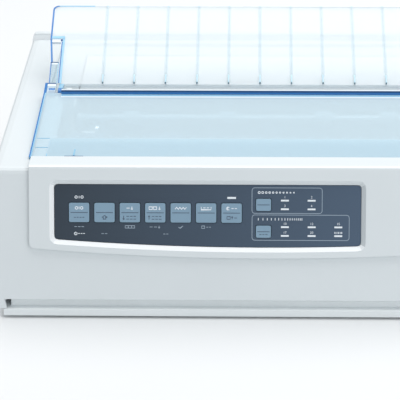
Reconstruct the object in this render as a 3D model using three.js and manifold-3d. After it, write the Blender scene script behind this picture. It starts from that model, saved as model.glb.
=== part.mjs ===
// Desktop dot-matrix forms printer: a low housing on a base pan, a raised front panel with a recessed
// key panel, a clear tinted access cover, a clear paper separator standing behind it, and the print
// mechanism between two side frames: platen, carriage with print head and ribbon, bail and tractors.
//
// Millimetres, +Z up, +Y to the back. Pieces are placed in the printer's own frame: X = 0 is the middle
// of the housing, Y = 0 the front of the base and Z = 0 the desk. The group then moves them so that the
// origin is the bottom centre of the whole printer, with its platen knob.

import * as THREE from "three";
import { mergeVertices } from "three/addons/utils/BufferGeometryUtils.js";
import Module from "manifold-3d";

const wasm = await Module();
wasm.setup();

// ---- Driving dimensions -------------------------------------------------------------------------

const HALF_WIDTH = 199; // housing at the height of its shoulders
const DEPTH = 346;
const SHOULDER = 108; // height of the two side shoulders
const LIP_TOP = 114; // a raised lip along the rear edge
const SHOULDER_ROUND = 7;
const SIDE_TAPER = 6; // each side wall leans in by this much from shoulder to base
const WALL = 3;
const SOCKET_PROUD = 1.5; // the interface socket stands out of the back
const GAP = 0.4; // running and fitting clearance

const FACE_FOOT = { y: 3, z: 15 }; // a point low on the sloping front face
const FACE_TOP_Y = 28.5; // the front face meets the shoulders here
const FACE_LEAN = Math.atan2(FACE_TOP_Y - FACE_FOOT.y, SHOULDER - FACE_FOOT.z);

const BASE = { half: 190, backY: 345, bottomZ: 2, floorZ: 5, lipZ: 6.9, wallZ: 16.5, frontY: 7, inset: 5 };
const DECK = {
  frontY: 47,
  backY: 172, // the raised deck ends here, and the sunken one behind it runs on to endY
  endY: 330,
  frontZ: 105.8,
  backZ: 112.8,
  rearZ: 105,
  half: 170,
  low: 100,
};
const BAY = { frontY: 92, waistY: 165, backY: 306, halfFront: 156, halfBack: 148 }; // opening in the deck
const HINGE = { y: 180, z: 113.8, pinRadius: 2, bracketX: 152.6, pinEnd: 169.4 }; // of cover and separator
const LUG = { radius: 4.4, hole: 2.4 };

const RAISE = 2.5; // the front panel stands proud of the housing's face
const SAG = 0.00024; // its lower edge is a shallow arc: s = low + SAG * x * x
const BEZEL = { half: 170.5, low: 30.6, backY: 46.6, topZ: 111, underZ: 108.4 };
const WINDOW = { half: 160, low: 35, high: 88.5 }; // hole in the housing behind the front panel
const OVERLAY = { left: -151.9, right: 74.1, low: 38.6, high: 84.8, thick: 1.5 };
const KEYS = { firstX: -133.6, pitch: 18.75, s: 64, width: 15, height: 14.4 };
const SMALL_KEYS = { x: 2.4, highS: 70.2, lowS: 50.3, width: 11, height: 9 };

const COVER = { half: 172.4, frontY: 47.2, backY: 171.5, frontZ: 110, backZ: 117.2, thick: 2.5 };
const LOBE = { inner: 163.6, outer: 170.6, backY: 187.8 }; // the cover's rear corners reach back
const STAND = { lowY: 195.6, lowZ: 116.4, highY: 278.5, highZ: 157.2, thick: 2.2 }; // it leans back
const STAND_SIDE = { half: 172.6, lowHalf: 170.6 };
const GRIP = { inner: 163.4, lowOuter: 168.8, highOuter: 170.6, low: 25, high: 52 }; // its finger holes
const STIFFENER = { half: 162.4, from: -4, to: -1 }; // thin walls behind the separator
const FLANGE = { near: 158.2, far: 161.6 };
const RIB_PITCH = 25.4;

const FRAME = { inner: 160, thick: 3, frontY: 92, backY: 296, bottomZ: 12.4, topZ: 97 };
const CHASSIS = { half: 165, frontY: 90, backY: 298, z: 10, thick: 2 };
const PLATEN = { y: 168, z: 82, radius: 17, half: 128, shaft: 4 };
const KNOB = { inner: 200, outer: 213, radius: 18 };
const GEAR = { x0: -156, x1: -150, module: 1, platenTeeth: 36, idlerTeeth: 20, pinionTeeth: 12 };
const IDLER = { y: 185, z: 59.3 };
const FEED_MOTOR = { y: 189.9, z: 43.7, x0: -147.5, x1: -129, radius: 17.5 };
const ROD = { y: 128, z: 52, radius: 5 };
const RAIL = { y0: 96, y1: 104, z0: 56, z1: 62 };
const PARK_X = -104; // the carriage parks at the left
const BELT = { x: 136, y: 104, z0: 37, z1: 43, pulley: 8, thick: 1.6, post: 2.6 };
const BAIL = { y: 156.4, z: 101.8, radius: 3, pivotY: 148, pivotZ: 58, pivot: 2.2, armX: 142.5 };
const BAIL_ROLLER = { radius: 5.4, width: 12, places: [-101.6, -25.4, 50.8, 101.6] };
const PAPER_LEVER = { x: 185.5, y: 209, pivotZ: 70, topZ: 122, pin: 3, slotHalf: 3, slotReach: 17 };
const GAP_LEVER = { x: 153.5, y: 120, pivotZ: 74, topZ: 107.5, pin: 2.5 };
const TRACTOR = {
  x: 108,
  half: 9,
  driveY: 226,
  guideY: 268,
  z: 66,
  high: 11,
  drive: 6, // the square drive shaft is this wide
  guide: 4, // radius of the round guide rod
  barEnd: 162.5,
};

// ---- Materials ----------------------------------------------------------------------------------

const finish = (color, roughness, metalness = 0, opacity = 1) =>
  new THREE.MeshStandardMaterial({ color, roughness, metalness, opacity, transparent: opacity < 1 });
const SHELL = finish(0xd9dfe3, 0.5);
const SLATE = finish(0x3d4b5a, 0.45);
const KEY_BLUE = finish(0x8fa9bd, 0.45);
const TINT = finish(0xb5dcf2, 0.1, 0, 0.35);
const WHITE_PLASTIC = finish(0xe6eaec, 0.5);
const BLACK_PLASTIC = finish(0x22262a, 0.5);
const STEEL = finish(0xb4b8bb, 0.35, 1);
const ZINC = finish(0xa8adb0, 0.45, 1);
const RUBBER = finish(0x2a2b2d, 0.8);
const BOARD = finish(0x2f6b45, 0.5);
const RIBBON = finish(0x2b3a63, 0.5);

// ---- Solids -------------------------------------------------------------------------------------

function solid(geometry) {
  const bare = geometry.index ? geometry.toNonIndexed() : geometry.clone();
  const open = new THREE.BufferGeometry().setAttribute("position", bare.getAttribute("position"));
  const merged = mergeVertices(open, 1e-4);
  const mesh = new wasm.Mesh({
    numProp: 3,
    vertProperties: merged.attributes.position.array,
    triVerts: new Uint32Array(merged.index.array),
  });
  return new wasm.Manifold(mesh);
}

function geometryOf(made) {
  const mesh = made.getMesh();
  return new THREE.BufferGeometry()
    .setAttribute("position", new THREE.BufferAttribute(mesh.vertProperties, 3))
    .setIndex(new THREE.BufferAttribute(mesh.triVerts, 1));
}

const join = (first, ...others) => others.reduce((sum, other) => sum.add(other), first);
const cut = (first, ...others) => others.reduce((rest, other) => rest.subtract(other), first);

// A box between two corners.
function block(x0, x1, y0, y1, z0, z1) {
  const made = new THREE.BoxGeometry(x1 - x0, y1 - y0, z1 - z0);
  return solid(made.translate((x0 + x1) / 2, (y0 + y1) / 2, (z0 + z1) / 2));
}

// A closed outline of [a, b, cornerRadius] points.
function outline(points) {
  const shape = new THREE.Shape();
  points.forEach(([a, b, radius = 0], i) => {
    const here = new THREE.Vector2(a, b);
    const towards = (other) => new THREE.Vector2(...other).sub(here).normalize().multiplyScalar(radius);
    const before = towards(points.at(i - 1).slice(0, 2)).add(here);
    const after = towards(points[(i + 1) % points.length].slice(0, 2)).add(here);
    if (i === 0) shape.moveTo(before.x, before.y);
    else shape.lineTo(before.x, before.y);
    if (radius > 0) shape.quadraticCurveTo(a, b, after.x, after.y);
  });
  return shape;
}

function rectangle(x0, x1, y0, y1, radius = 0) {
  return outline([[x0, y0, radius], [x1, y0, radius], [x1, y1, radius], [x0, y1, radius]]);
}

// An outline pushed along its normal, with bevelled ends where a bevel is given.
function extruded(shape, from, to, curveSegments = 3, bevel = null) {
  const ends = bevel
    ? { bevelEnabled: true, bevelThickness: bevel.thickness, bevelSize: bevel.size, bevelSegments: 1 }
    : { bevelEnabled: false };
  const made = new THREE.ExtrudeGeometry(shape, { depth: to - from, curveSegments, ...ends });
  return made.translate(0, 0, from);
}

// The stretch from a to b across the printer, on the left or the right side.
const span = (side, a, b) => (side > 0 ? [a, b] : [-b, -a]);

// An outline whose lower edge is a shallow arc, with rounded corners.
function arcBottomed(left, right, low, high, radius) {
  const edge = (x) => low + SAG * x * x;
  const steps = 12;
  const points = [[left, edge(left), radius]];
  for (let i = 1; i < steps; i++) {
    const x = left + ((right - left) * i) / steps;
    points.push([x, edge(x)]);
  }
  points.push([right, edge(right), radius], [right, high, radius], [left, high, radius]);
  return outline(points);
}

// An outline drawn in one plane and pushed along the third axis.
const alongZ = (shape, z0, z1) => solid(extruded(shape, z0, z1));
const AXES_YZX = new THREE.Matrix4().makeBasis(
  new THREE.Vector3(0, 1, 0),
  new THREE.Vector3(0, 0, 1),
  new THREE.Vector3(1, 0, 0),
);
const alongX = (shape, x0, x1, segments) => solid(extruded(shape, x0, x1, segments).applyMatrix4(AXES_YZX));
const AXES_ZXY = new THREE.Matrix4().makeBasis(
  new THREE.Vector3(0, 0, 1),
  new THREE.Vector3(1, 0, 0),
  new THREE.Vector3(0, 1, 0),
);
const alongY = (shape, y0, y1) => solid(extruded(shape, y0, y1).applyMatrix4(AXES_ZXY));

// A round bar along X.
function barX(radius, x0, x1, y, z, sides = 20) {
  const bar = new THREE.CylinderGeometry(radius, radius, x1 - x0, sides);
  return solid(bar.rotateZ(Math.PI / 2).translate((x0 + x1) / 2, y, z));
}

// A round post along Z.
function postZ(radius, x, y, z0, z1, sides = 20) {
  const post = new THREE.CylinderGeometry(radius, radius, z1 - z0, sides);
  return solid(post.rotateX(Math.PI / 2).translate(x, y, (z0 + z1) / 2));
}

// The sloping front face: x across, s up the slope, and height out of the face.
const FACE = new THREE.Matrix4()
  .makeTranslation(0, FACE_FOOT.y, FACE_FOOT.z)
  .multiply(new THREE.Matrix4().makeRotationX(Math.PI / 2 - FACE_LEAN));
const onFace = (shape, from, to, segments) => solid(extruded(shape, from, to, segments).applyMatrix4(FACE));

// ---- The group of pieces ------------------------------------------------------------------------

const printer = new THREE.Group();
const WIDEST = HALF_WIDTH - (SIDE_TAPER * SHOULDER_ROUND) / SHOULDER; // below the rounded shoulder
printer.position.set((WIDEST - KNOB.outer) / 2, -(DEPTH + SOCKET_PROUD) / 2, 0);

function piece(name, made, material) {
  const mesh = new THREE.Mesh(geometryOf(made), material);
  mesh.name = name;
  printer.add(mesh);
}

// ---- Base pan and feet --------------------------------------------------------------------------

function basePan() {
  const { half, backY, bottomZ, floorZ, lipZ, wallZ, frontY, inset } = BASE;
  const x = half - inset;
  const back = backY - inset;
  const well = block(-x + WALL, x - WALL, frontY + WALL, back - WALL, floorZ, wallZ + 1);
  const wall = block(-x, x, frontY, back, floorZ - 1, wallZ);
  const post = { x: 140, frontY: 110, backY: 280, radius: 6 }; // these carry the chassis plate
  const posts = [-post.x, post.x].flatMap((px) =>
    [post.frontY, post.backY].map((py) => postZ(post.radius, px, py, floorZ - 1, CHASSIS.z - GAP, 12)),
  );
  const vent = { half: 50, firstY: 150, wide: 6, pitch: 16, count: 6 };
  const vents = [];
  for (let i = 0; i < vent.count; i++) {
    const y = vent.firstY + i * vent.pitch;
    vents.push(block(-vent.half, vent.half, y, y + vent.wide, 0, floorZ + 5));
  }
  const tray = cut(join(block(-half, half, 0, backY, bottomZ, lipZ), wall), well);
  return cut(join(tray, ...posts), ...vents);
}

const FOOT = { x: 168, frontY: 24, rearY: 320, radius: 9, seatGap: 0.3 };
piece("base_pan", basePan(), SHELL);
for (const [side, x] of [["left", -FOOT.x], ["right", FOOT.x]]) {
  for (const [end, y] of [["front", FOOT.frontY], ["rear", FOOT.rearY]]) {
    const foot = postZ(FOOT.radius, x, y, 0, BASE.bottomZ - FOOT.seatGap, 16);
    piece(`foot_${end}_${side}`, foot, RUBBER);
  }
}

// ---- Upper housing ------------------------------------------------------------------------------

// The housing's outside, or its inside at a depth of `inset`.
function housingBody(inset) {
  const skin = inset / Math.cos(FACE_LEAN);
  const low = inset > 0 ? 0 : BASE.lipZ + 0.5;
  const top = SHOULDER - inset;
  const faceY = (z) => FACE_FOOT.y + (z - FACE_FOOT.z) * Math.tan(FACE_LEAN) + skin;
  const profile = outline([
    [faceY(low), low],
    [DEPTH - inset, low],
    [DEPTH - inset, top, 4 - inset],
    [faceY(top), top, 4 - inset],
  ]);
  const halfTop = HALF_WIDTH - inset;
  const halfLow = halfTop - (SIDE_TAPER * (top - low)) / SHOULDER;
  const section = outline([
    [low, -halfLow],
    [top, -halfTop, SHOULDER_ROUND - inset],
    [top, halfTop, SHOULDER_ROUND - inset],
    [low, halfLow],
  ]);
  return alongX(profile, -HALF_WIDTH - 1, HALF_WIDTH + 1).intersect(alongY(section, -1, DEPTH + 1));
}

// The raised deck under the access cover, then the sunken deck under the separator.
function deckProfile(drop) {
  const endY = DECK.endY - drop;
  return outline([
    [DECK.frontY + drop, DECK.low - drop],
    [DECK.frontY + drop, DECK.frontZ - drop],
    [DECK.backY - drop, DECK.backZ - drop],
    [DECK.backY - drop, DECK.rearZ - drop],
    [endY, DECK.rearZ - drop],
    [endY, DECK.low - drop],
  ]);
}

function bayCut() {
  const shape = outline([
    [-BAY.halfFront, BAY.frontY, 5],
    [BAY.halfFront, BAY.frontY, 5],
    [BAY.halfFront, BAY.waistY],
    [BAY.halfBack, BAY.waistY],
    [BAY.halfBack, BAY.backY],
    [-BAY.halfBack, BAY.backY],
    [-BAY.halfBack, BAY.waistY],
    [-BAY.halfFront, BAY.waistY],
  ]);
  return alongZ(shape, DECK.low - 10, SHOULDER + 20);
}

// One hinge bracket standing on the sunken deck, with its moulded pin.
function hingeBracket(side) {
  const { y, z, bracketX, pinEnd, pinRadius } = HINGE;
  const reach = 4.6;
  const halfThick = 2;
  const arch = outline([
    [y - reach, DECK.rearZ - 1],
    [y + reach, DECK.rearZ - 1],
    [y + reach, z + 4, 3],
    [y - reach, z + 4, 3],
  ]);
  const [x0, x1] = span(side, bracketX - halfThick, bracketX + halfThick);
  const [p0, p1] = span(side, bracketX, pinEnd);
  return join(alongX(arch, x0, x1), barX(pinRadius, p0, p1, y, z, 12));
}

// Openings in the back and the sides: form entry, mains inlet, switch, interface socket, cooling slots.
const PORTS = {
  inlet: { x: -150, z: 34, half: 14, high: 11 },
  rocker: { x: -116, z: 34, half: 7, high: 10.4 },
  socket: { x: 110, z: 34, half: 30, high: 8.4 },
};
const ENTRY = { half: 138, z0: 78, z1: 92 };
const REAR_SLOTS = { firstX: -59, wide: 6, pitch: 14, count: 8, z0: 26, z1: 58 };
const SIDE_SLOTS = { firstY: 236, wide: 5, pitch: 12, count: 6, z0: 34, z1: 66 };

function wallOpenings() {
  const y0 = DEPTH - WALL - 2;
  const y1 = DEPTH + 2;
  const ports = Object.values(PORTS).map((p) =>
    block(p.x - p.half, p.x + p.half, y0, y1, p.z - p.high, p.z + p.high),
  );
  const entry = block(-ENTRY.half, ENTRY.half, y0, y1, ENTRY.z0, ENTRY.z1);
  const slots = [];
  for (let i = 0; i < REAR_SLOTS.count; i++) {
    const x = REAR_SLOTS.firstX + i * REAR_SLOTS.pitch;
    slots.push(block(x, x + REAR_SLOTS.wide, y0, y1, REAR_SLOTS.z0, REAR_SLOTS.z1));
  }
  for (const side of [-1, 1]) {
    const [x0, x1] = span(side, HALF_WIDTH - 20, HALF_WIDTH + 5);
    for (let i = 0; i < SIDE_SLOTS.count; i++) {
      const y = SIDE_SLOTS.firstY + i * SIDE_SLOTS.pitch;
      slots.push(block(x0, x1, y, y + SIDE_SLOTS.wide, SIDE_SLOTS.z0, SIDE_SLOTS.z1));
    }
  }
  return [...ports, entry, ...slots];
}

// The raised lip along the rear edge.
function rearEdge() {
  const bar = rectangle(DEPTH - 6.5, DEPTH, DECK.low, LIP_TOP, 2);
  const ends = outline([
    [90, -HALF_WIDTH + 0.8],
    [LIP_TOP, -HALF_WIDTH + 1.4, 6],
    [LIP_TOP, HALF_WIDTH - 1.4, 6],
    [90, HALF_WIDTH - 0.8],
  ]);
  return alongX(bar, -HALF_WIDTH, HALF_WIDTH).intersect(alongY(ends, DEPTH - 10, DEPTH + 1));
}

function upperHousing() {
  const moat = DECK.half + 1; // a narrow gap runs round the deck
  const aboveFloor = block(-moat, moat, DECK.frontY, DECK.endY, DECK.rearZ, SHOULDER + 10);
  const shell = cut(
    housingBody(0),
    housingBody(WALL),
    block(-moat, moat, DECK.frontY, DECK.endY, DECK.low, SHOULDER + 10),
  );
  const rim = cut(
    block(-moat - WALL, moat + WALL, DECK.frontY - WALL, DECK.endY + WALL, DECK.low, SHOULDER - 1),
    block(-DECK.half + 1, DECK.half - 1, DECK.frontY + 1, DECK.endY - 1, 0, SHOULDER + 10),
    aboveFloor,
  );
  const deck = cut(
    alongX(deckProfile(0), -DECK.half, DECK.half),
    alongX(deckProfile(WALL), -DECK.half + WALL, DECK.half - WALL),
  );
  const knobHole = barX(PLATEN.shaft + 2, HALF_WIDTH - 12, HALF_WIDTH + 5, PLATEN.y, PLATEN.z);
  const { x, y, slotHalf, slotReach } = PAPER_LEVER;
  const leverSlot = block(x - slotHalf, x + slotHalf, y - slotReach, y + slotReach, DECK.low, SHOULDER + 5);
  const panelWindow = onFace(arcBottomed(-WINDOW.half, WINDOW.half, WINDOW.low, WINDOW.high, 2), -8, 5);
  const groove = alongY(
    outline([
      [0, -BASE.half + 4],
      [14, -BASE.half + 0.5],
      [14, BASE.half - 0.5],
      [0, BASE.half - 4],
    ]),
    -5,
    BASE.frontY,
  );
  return cut(
    join(shell, rim, deck, rearEdge(), hingeBracket(-1), hingeBracket(1)),
    bayCut(),
    knobHole,
    leverSlot,
    panelWindow,
    groove,
    ...wallOpenings(),
  );
}

piece("upper_housing", upperHousing(), SHELL);

// ---- Front panel, key panel, keys and their board -----------------------------------------------

function frontPanel() {
  const { half, low, backY, topZ, underZ } = BEZEL;
  const at = (s, out) => [
    FACE_FOOT.y + s * Math.sin(FACE_LEAN) - out * Math.cos(FACE_LEAN),
    FACE_FOOT.z + s * Math.cos(FACE_LEAN) + out * Math.sin(FACE_LEAN),
  ];
  const sUnder = (underZ - FACE_FOOT.z) / Math.cos(FACE_LEAN);
  const sTop = (topZ - FACE_FOOT.z - RAISE * Math.sin(FACE_LEAN)) / Math.cos(FACE_LEAN);
  const skin = outline([
    at(low - 4, RAISE),
    at(low - 4, GAP),
    at(sUnder, GAP),
    [backY, underZ],
    [backY, topZ, 0.6],
    [...at(sTop, RAISE), 2.4],
  ]);
  const mask = onFace(arcBottomed(-half, half, low, 130, 4), -30, 10);
  const seat = WINDOW.half - GAP;
  const plug = onFace(arcBottomed(-seat, seat, WINDOW.low + GAP, WINDOW.high - GAP, 2), -4, 1);
  const { left, right, high, thick } = OVERLAY;
  const margin = 0.3;
  const pocket = arcBottomed(left - margin, right + margin, OVERLAY.low - margin, high + margin, 3);
  const chamfer = extruded(pocket, 0, 5, 3, { thickness: RAISE, size: 3.2 }).translate(0, 0, RAISE);
  const post = { half: 2.5, lowS: 50, highS: 76, end: -7.7 }; // the board is screwed to these
  const posts = [left, right].flatMap((x) =>
    [post.lowS, post.highS].map((s) =>
      onFace(rectangle(x - post.half, x + post.half, s - post.half, s + post.half), post.end, -3.5),
    ),
  );
  return join(
    cut(
      join(alongX(skin, -half, half).intersect(mask), plug),
      onFace(rectangle(right + 8, WINDOW.half - WALL, 46, 85, 2), -5, 0),
      onFace(pocket, -thick - margin, 1),
      solid(chamfer.applyMatrix4(FACE)),
      onFace(rectangle(left + 6, right - 6, 45, 80.6, 2), -6, 0),
    ),
    ...posts,
  );
}

// Every key: its name and its middle and size on the face.
function allKeys() {
  const { firstX, pitch, s, width, height } = KEYS;
  const names = ["select", "shift", "line_feed", "form_feed", "tear_off", "park", "quiet"];
  const row = names.map((name, i) => ({ name: `key_${name}`, x: firstX + i * pitch, s, width, height }));
  const { highS, lowS, ...small } = SMALL_KEYS;
  const printQuality = { ...small, name: "key_print_quality", s: highS };
  const characterPitch = { ...small, name: "key_character_pitch", s: lowS };
  return [...row, printQuality, characterPitch];
}

function keyOutline({ x, s, width, height }, more, radius) {
  const halfWidth = width / 2 + more;
  const halfHeight = height / 2 + more;
  return rectangle(x - halfWidth, x + halfWidth, s - halfHeight, s + halfHeight, radius);
}

function controlPanel() {
  const { left, right, low, high, thick } = OVERLAY;
  const plate = onFace(arcBottomed(left, right, low, high, 3), -thick, 0);
  return cut(plate, ...allKeys().map((key) => onFace(keyOutline(key, GAP, 1.5), -thick - 1, 1, 2)));
}

function keyTop(key) {
  const stem = rectangle(key.x - 3, key.x + 3, key.s - 3, key.s + 3);
  return join(onFace(keyOutline(key, 0, 1.2), -3.2, 0.5, 2), onFace(stem, -5.5, -3));
}

piece("front_panel", frontPanel(), SHELL);
piece("control_panel", controlPanel(), SLATE);
for (const key of allKeys()) piece(key.name, keyTop(key), KEY_BLUE);
piece("panel_board", onFace(rectangle(OVERLAY.left - 3, OVERLAY.right + 3, 46, 80), -9.4, -8), BOARD);

// ---- Access cover and paper separator -----------------------------------------------------------

const coverTop = (y) =>
  COVER.frontZ + ((y - COVER.frontY) * (COVER.backZ - COVER.frontZ)) / (COVER.backY - COVER.frontY);

function accessCover() {
  const { half, frontY, backY, backZ, thick } = COVER;
  const lip = 2.2; // the rear edge turns up
  const sheet = outline([
    [frontY, coverTop(frontY) - thick],
    [backY, backZ - thick],
    [backY, backZ + lip],
    [backY - thick, backZ + lip],
    [backY - thick, coverTop(backY - thick)],
    [frontY, coverTop(frontY)],
  ]);
  const skirt = outline([
    [frontY, SHOULDER + 0.6],
    [backY + 6, SHOULDER + 0.6],
    [backY + 6, backZ],
    [backY - 1, backZ],
    [frontY, coverTop(frontY)],
  ]);
  const lobe = rectangle(backY - 3, LOBE.backY, backZ - thick, backZ);
  const solids = [alongX(sheet, -DECK.half - 0.6, DECK.half + 0.6)];
  for (const side of [-1, 1]) {
    solids.push(alongX(skirt, ...span(side, half - 2, half)));
    solids.push(alongX(lobe, ...span(side, LOBE.inner, LOBE.outer)));
    solids.push(barX(LUG.radius, ...span(side, 164, 169), HINGE.y, HINGE.z, 16));
  }
  const holes = [-1, 1].map((side) => barX(LUG.hole, ...span(side, 160, 175), HINGE.y, HINGE.z, 16));
  return cut(join(...solids), ...holes);
}

// The separator is drawn flat, x across and y up the plate, then leant back.
const STAND_LEAN = Math.atan2(STAND.highZ - STAND.lowZ, STAND.highY - STAND.lowY);
const STAND_LENGTH = Math.hypot(STAND.highZ - STAND.lowZ, STAND.highY - STAND.lowY);
const STAND_PLACE = new THREE.Matrix4()
  .makeTranslation(0, STAND.lowY, STAND.lowZ)
  .multiply(new THREE.Matrix4().makeRotationX(STAND_LEAN));
const onStand = (shape, from, to) => solid(extruded(shape, from, to).applyMatrix4(STAND_PLACE));

function separatorSide(side) {
  const [x0, x1] = span(side, FLANGE.near, FLANGE.far);
  const { y, z } = HINGE;
  const arm = outline([[y - 1, z - 4], [y + 17, z - 1], [y + 18, z + 2.5], [y - 1, z + 4.2]]);
  const { from, to } = STIFFENER;
  const flange = onStand(rectangle(x0, x1, 0, GRIP.high + 4), from, to);
  const across = span(side, FLANGE.far - 1, STAND_SIDE.half);
  const crossbar = rectangle(...across, GRIP.high, GRIP.high + STAND.thick);
  return join(flange, onStand(crossbar, from, to), alongX(arm, x0, x1), barX(LUG.radius, x0, x1, y, z, 16));
}

function paperSeparator() {
  const { half, lowHalf } = STAND_SIDE;
  const plate = outline([
    [-lowHalf, 0],
    [lowHalf, 0],
    [lowHalf, GRIP.low],
    [half, GRIP.low + 5],
    [half, STAND_LENGTH, 5],
    [-half, STAND_LENGTH, 5],
    [-half, GRIP.low + 5],
    [-lowHalf, GRIP.low],
  ]);
  const gripHoles = [-1, 1].map((side) => {
    const hole = outline([
      [side * GRIP.inner, GRIP.low],
      [side * GRIP.lowOuter, GRIP.low],
      [side * GRIP.highOuter, GRIP.high],
      [side * GRIP.inner, GRIP.high],
    ]);
    return onStand(hole, -STAND.thick - 1, 1);
  });
  const sheet = cut(onStand(plate, -STAND.thick, 0), ...gripHoles);
  const solids = [sheet, separatorSide(-1), separatorSide(1)];
  for (let i = -5; i <= 5; i++) {
    const x = i * RIB_PITCH;
    solids.push(onStand(rectangle(x - 0.6, x + 0.6, 0.6, STAND_LENGTH - 0.6), -GAP, 0.9));
    solids.push(onStand(rectangle(x - 0.8, x + 0.8, 0.6, 9), -GAP, 2.4));
  }
  solids.push(onStand(rectangle(-STIFFENER.half, STIFFENER.half, 0, 2), STIFFENER.from, STIFFENER.to));
  const holes = [-1, 1].map((side) => barX(LUG.hole, ...span(side, 155, 163), HINGE.y, HINGE.z, 16));
  return cut(join(...solids), ...holes);
}

// The white guide between the separator and the tractors, with a finger tab.
function rearGuide() {
  const half = BAY.halfBack - 0.6;
  const plate = block(-half, half, 198, BAY.backY - 0.6, 102.4, 104.4);
  const ribs = [];
  for (let i = -5; i <= 5; i++) {
    const x = i * RIB_PITCH;
    ribs.push(block(x - 0.8, x + 0.8, 199, 300, 100.6, 103));
  }
  const tab = alongZ(rectangle(-26, -2, 236, 262, 4), 103, 105.6);
  return join(plate, tab, ...ribs);
}

piece("access_cover", accessCover(), TINT);
piece("paper_separator", paperSeparator(), TINT);
piece("rear_guide", rearGuide(), WHITE_PLASTIC);

// ---- Chassis and side frames --------------------------------------------------------------------

function sideFrame(side) {
  const { inner, thick, frontY, backY, bottomZ, topZ } = FRAME;
  const [x0, x1] = span(side, inner, inner + thick);
  const profile = outline([
    [frontY, bottomZ],
    [backY, bottomZ],
    [backY, topZ - 14, 3],
    [204, topZ - 14],
    [194, topZ, 3],
    [frontY + 18, topZ, 3],
    [frontY, 68, 3],
  ]);
  const hole = (y, z, radius) => barX(radius + GAP, x0 - 1, x1 + 1, y, z, 12);
  const holes = [
    hole(PLATEN.y, PLATEN.z, PLATEN.shaft),
    hole(ROD.y, ROD.z, ROD.radius),
    hole(BAIL.pivotY, BAIL.pivotZ, BAIL.pivot),
    hole(TRACTOR.driveY, TRACTOR.z, TRACTOR.drive * 0.75),
    hole(TRACTOR.guideY, TRACTOR.z, TRACTOR.guide),
  ];
  if (side > 0) {
    holes.push(hole(PAPER_LEVER.y, PAPER_LEVER.pivotZ, PAPER_LEVER.pin));
    holes.push(hole(GAP_LEVER.y, GAP_LEVER.pivotZ, GAP_LEVER.pin));
  }
  const window = alongX(rectangle(216, 284, 22, 48, 4), x0 - 1, x1 + 1);
  return cut(alongX(profile, x0, x1), window, ...holes);
}

function chassisPlate() {
  const { half, frontY, backY, z, thick } = CHASSIS;
  const plate = block(-half, half, frontY, backY, z, z + thick);
  const post = postZ(BELT.post, -BELT.x, BELT.y, z + 1, BELT.z1 + 2, 12);
  return join(plate, post);
}

piece("side_frame_left", sideFrame(-1), ZINC);
piece("side_frame_right", sideFrame(1), ZINC);
piece("chassis_plate", chassisPlate(), ZINC);

// ---- Platen, its knob and the line feed ---------------------------------------------------------

// How far a gear is turned so that its teeth fall between those of the gear that drives it.
function meshedTurn(driver, driven) {
  const toDriven = Math.atan2(driven.z - driver.z, driven.y - driver.y);
  const driverStep = (2 * Math.PI) / driver.teeth;
  const drivenStep = (2 * Math.PI) / driven.teeth;
  const phase = (toDriven - driver.turn) / driverStep;
  return toDriven + Math.PI - (0.5 - phase) * drivenStep;
}

// A spur gear on an axis along X.
function spurGear({ teeth, y, z, turn }, bore) {
  const { x0, x1 } = GEAR;
  const pitch = (GEAR.module * teeth) / 2;
  const step = (2 * Math.PI) / teeth;
  const points = [];
  for (let i = 0; i < teeth; i++) {
    const flank = [
      [-0.27, pitch - 1.2],
      [-0.12, pitch + 0.8],
      [0.12, pitch + 0.8],
      [0.27, pitch - 1.2],
    ];
    for (const [share, radius] of flank) {
      const angle = (i + share) * step + turn;
      points.push([y + radius * Math.cos(angle), z + radius * Math.sin(angle)]);
    }
  }
  return cut(alongX(outline(points), x0, x1), barX(bore, x0 - 1, x1 + 1, y, z, 16));
}

function platenRoller() {
  const { y, z, radius, half, shaft } = PLATEN;
  return cut(barX(radius, -half, half, y, z, 32), barX(shaft + 0.3, -half - 1, half + 1, y, z, 12));
}

function platenKnob() {
  const { inner, outer, radius } = KNOB;
  const grip = [];
  for (let i = 0; i < 24; i++) {
    const angle = (i * Math.PI) / 12;
    const reach = i % 2 ? radius : radius - 0.8;
    grip.push([PLATEN.y + reach * Math.cos(angle), PLATEN.z + reach * Math.sin(angle)]);
  }
  const bore = barX(PLATEN.shaft + 0.3, inner - 1, outer - 3, PLATEN.y, PLATEN.z, 16);
  return cut(alongX(outline(grip), inner, outer), bore);
}

function feedMotor() {
  const { y, z, x0, x1, radius } = FEED_MOTOR;
  return join(barX(radius, x0, x1, y, z, 24), barX(1.5, GEAR.x0, x0 + 1, y, z, 8));
}

const platenWheel = { teeth: GEAR.platenTeeth, y: PLATEN.y, z: PLATEN.z, turn: 0 };
const idlerWheel = { teeth: GEAR.idlerTeeth, ...IDLER };
idlerWheel.turn = meshedTurn(platenWheel, idlerWheel);
const pinionWheel = { teeth: GEAR.pinionTeeth, y: FEED_MOTOR.y, z: FEED_MOTOR.z };
pinionWheel.turn = meshedTurn(idlerWheel, pinionWheel);
const shaftEnds = [-FRAME.inner - 2, KNOB.outer - 4];
piece("platen_roller", platenRoller(), RUBBER);
piece("platen_shaft", barX(PLATEN.shaft, ...shaftEnds, PLATEN.y, PLATEN.z, 16), STEEL);
piece("platen_knob", platenKnob(), WHITE_PLASTIC);
piece("platen_gear", spurGear(platenWheel, PLATEN.shaft + 0.3), WHITE_PLASTIC);
piece("idler_gear", spurGear(idlerWheel, 2.5), WHITE_PLASTIC);
piece("motor_pinion", spurGear(pinionWheel, 1.8), STEEL);
piece("line_feed_motor", feedMotor(), BLACK_PLASTIC);

// A curved sheet under the platen that turns the paper round it.
function paperPan() {
  const shape = new THREE.Shape();
  const inside = PLATEN.radius + 1.2;
  const outside = inside + 1.2;
  shape.absarc(PLATEN.y, PLATEN.z, outside, -Math.PI * 0.9, -Math.PI * 0.1, false);
  shape.absarc(PLATEN.y, PLATEN.z, inside, -Math.PI * 0.1, -Math.PI * 0.9, true);
  return alongX(shape, -126, 126, 10);
}

piece("paper_pan", paperPan(), STEEL);

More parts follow.
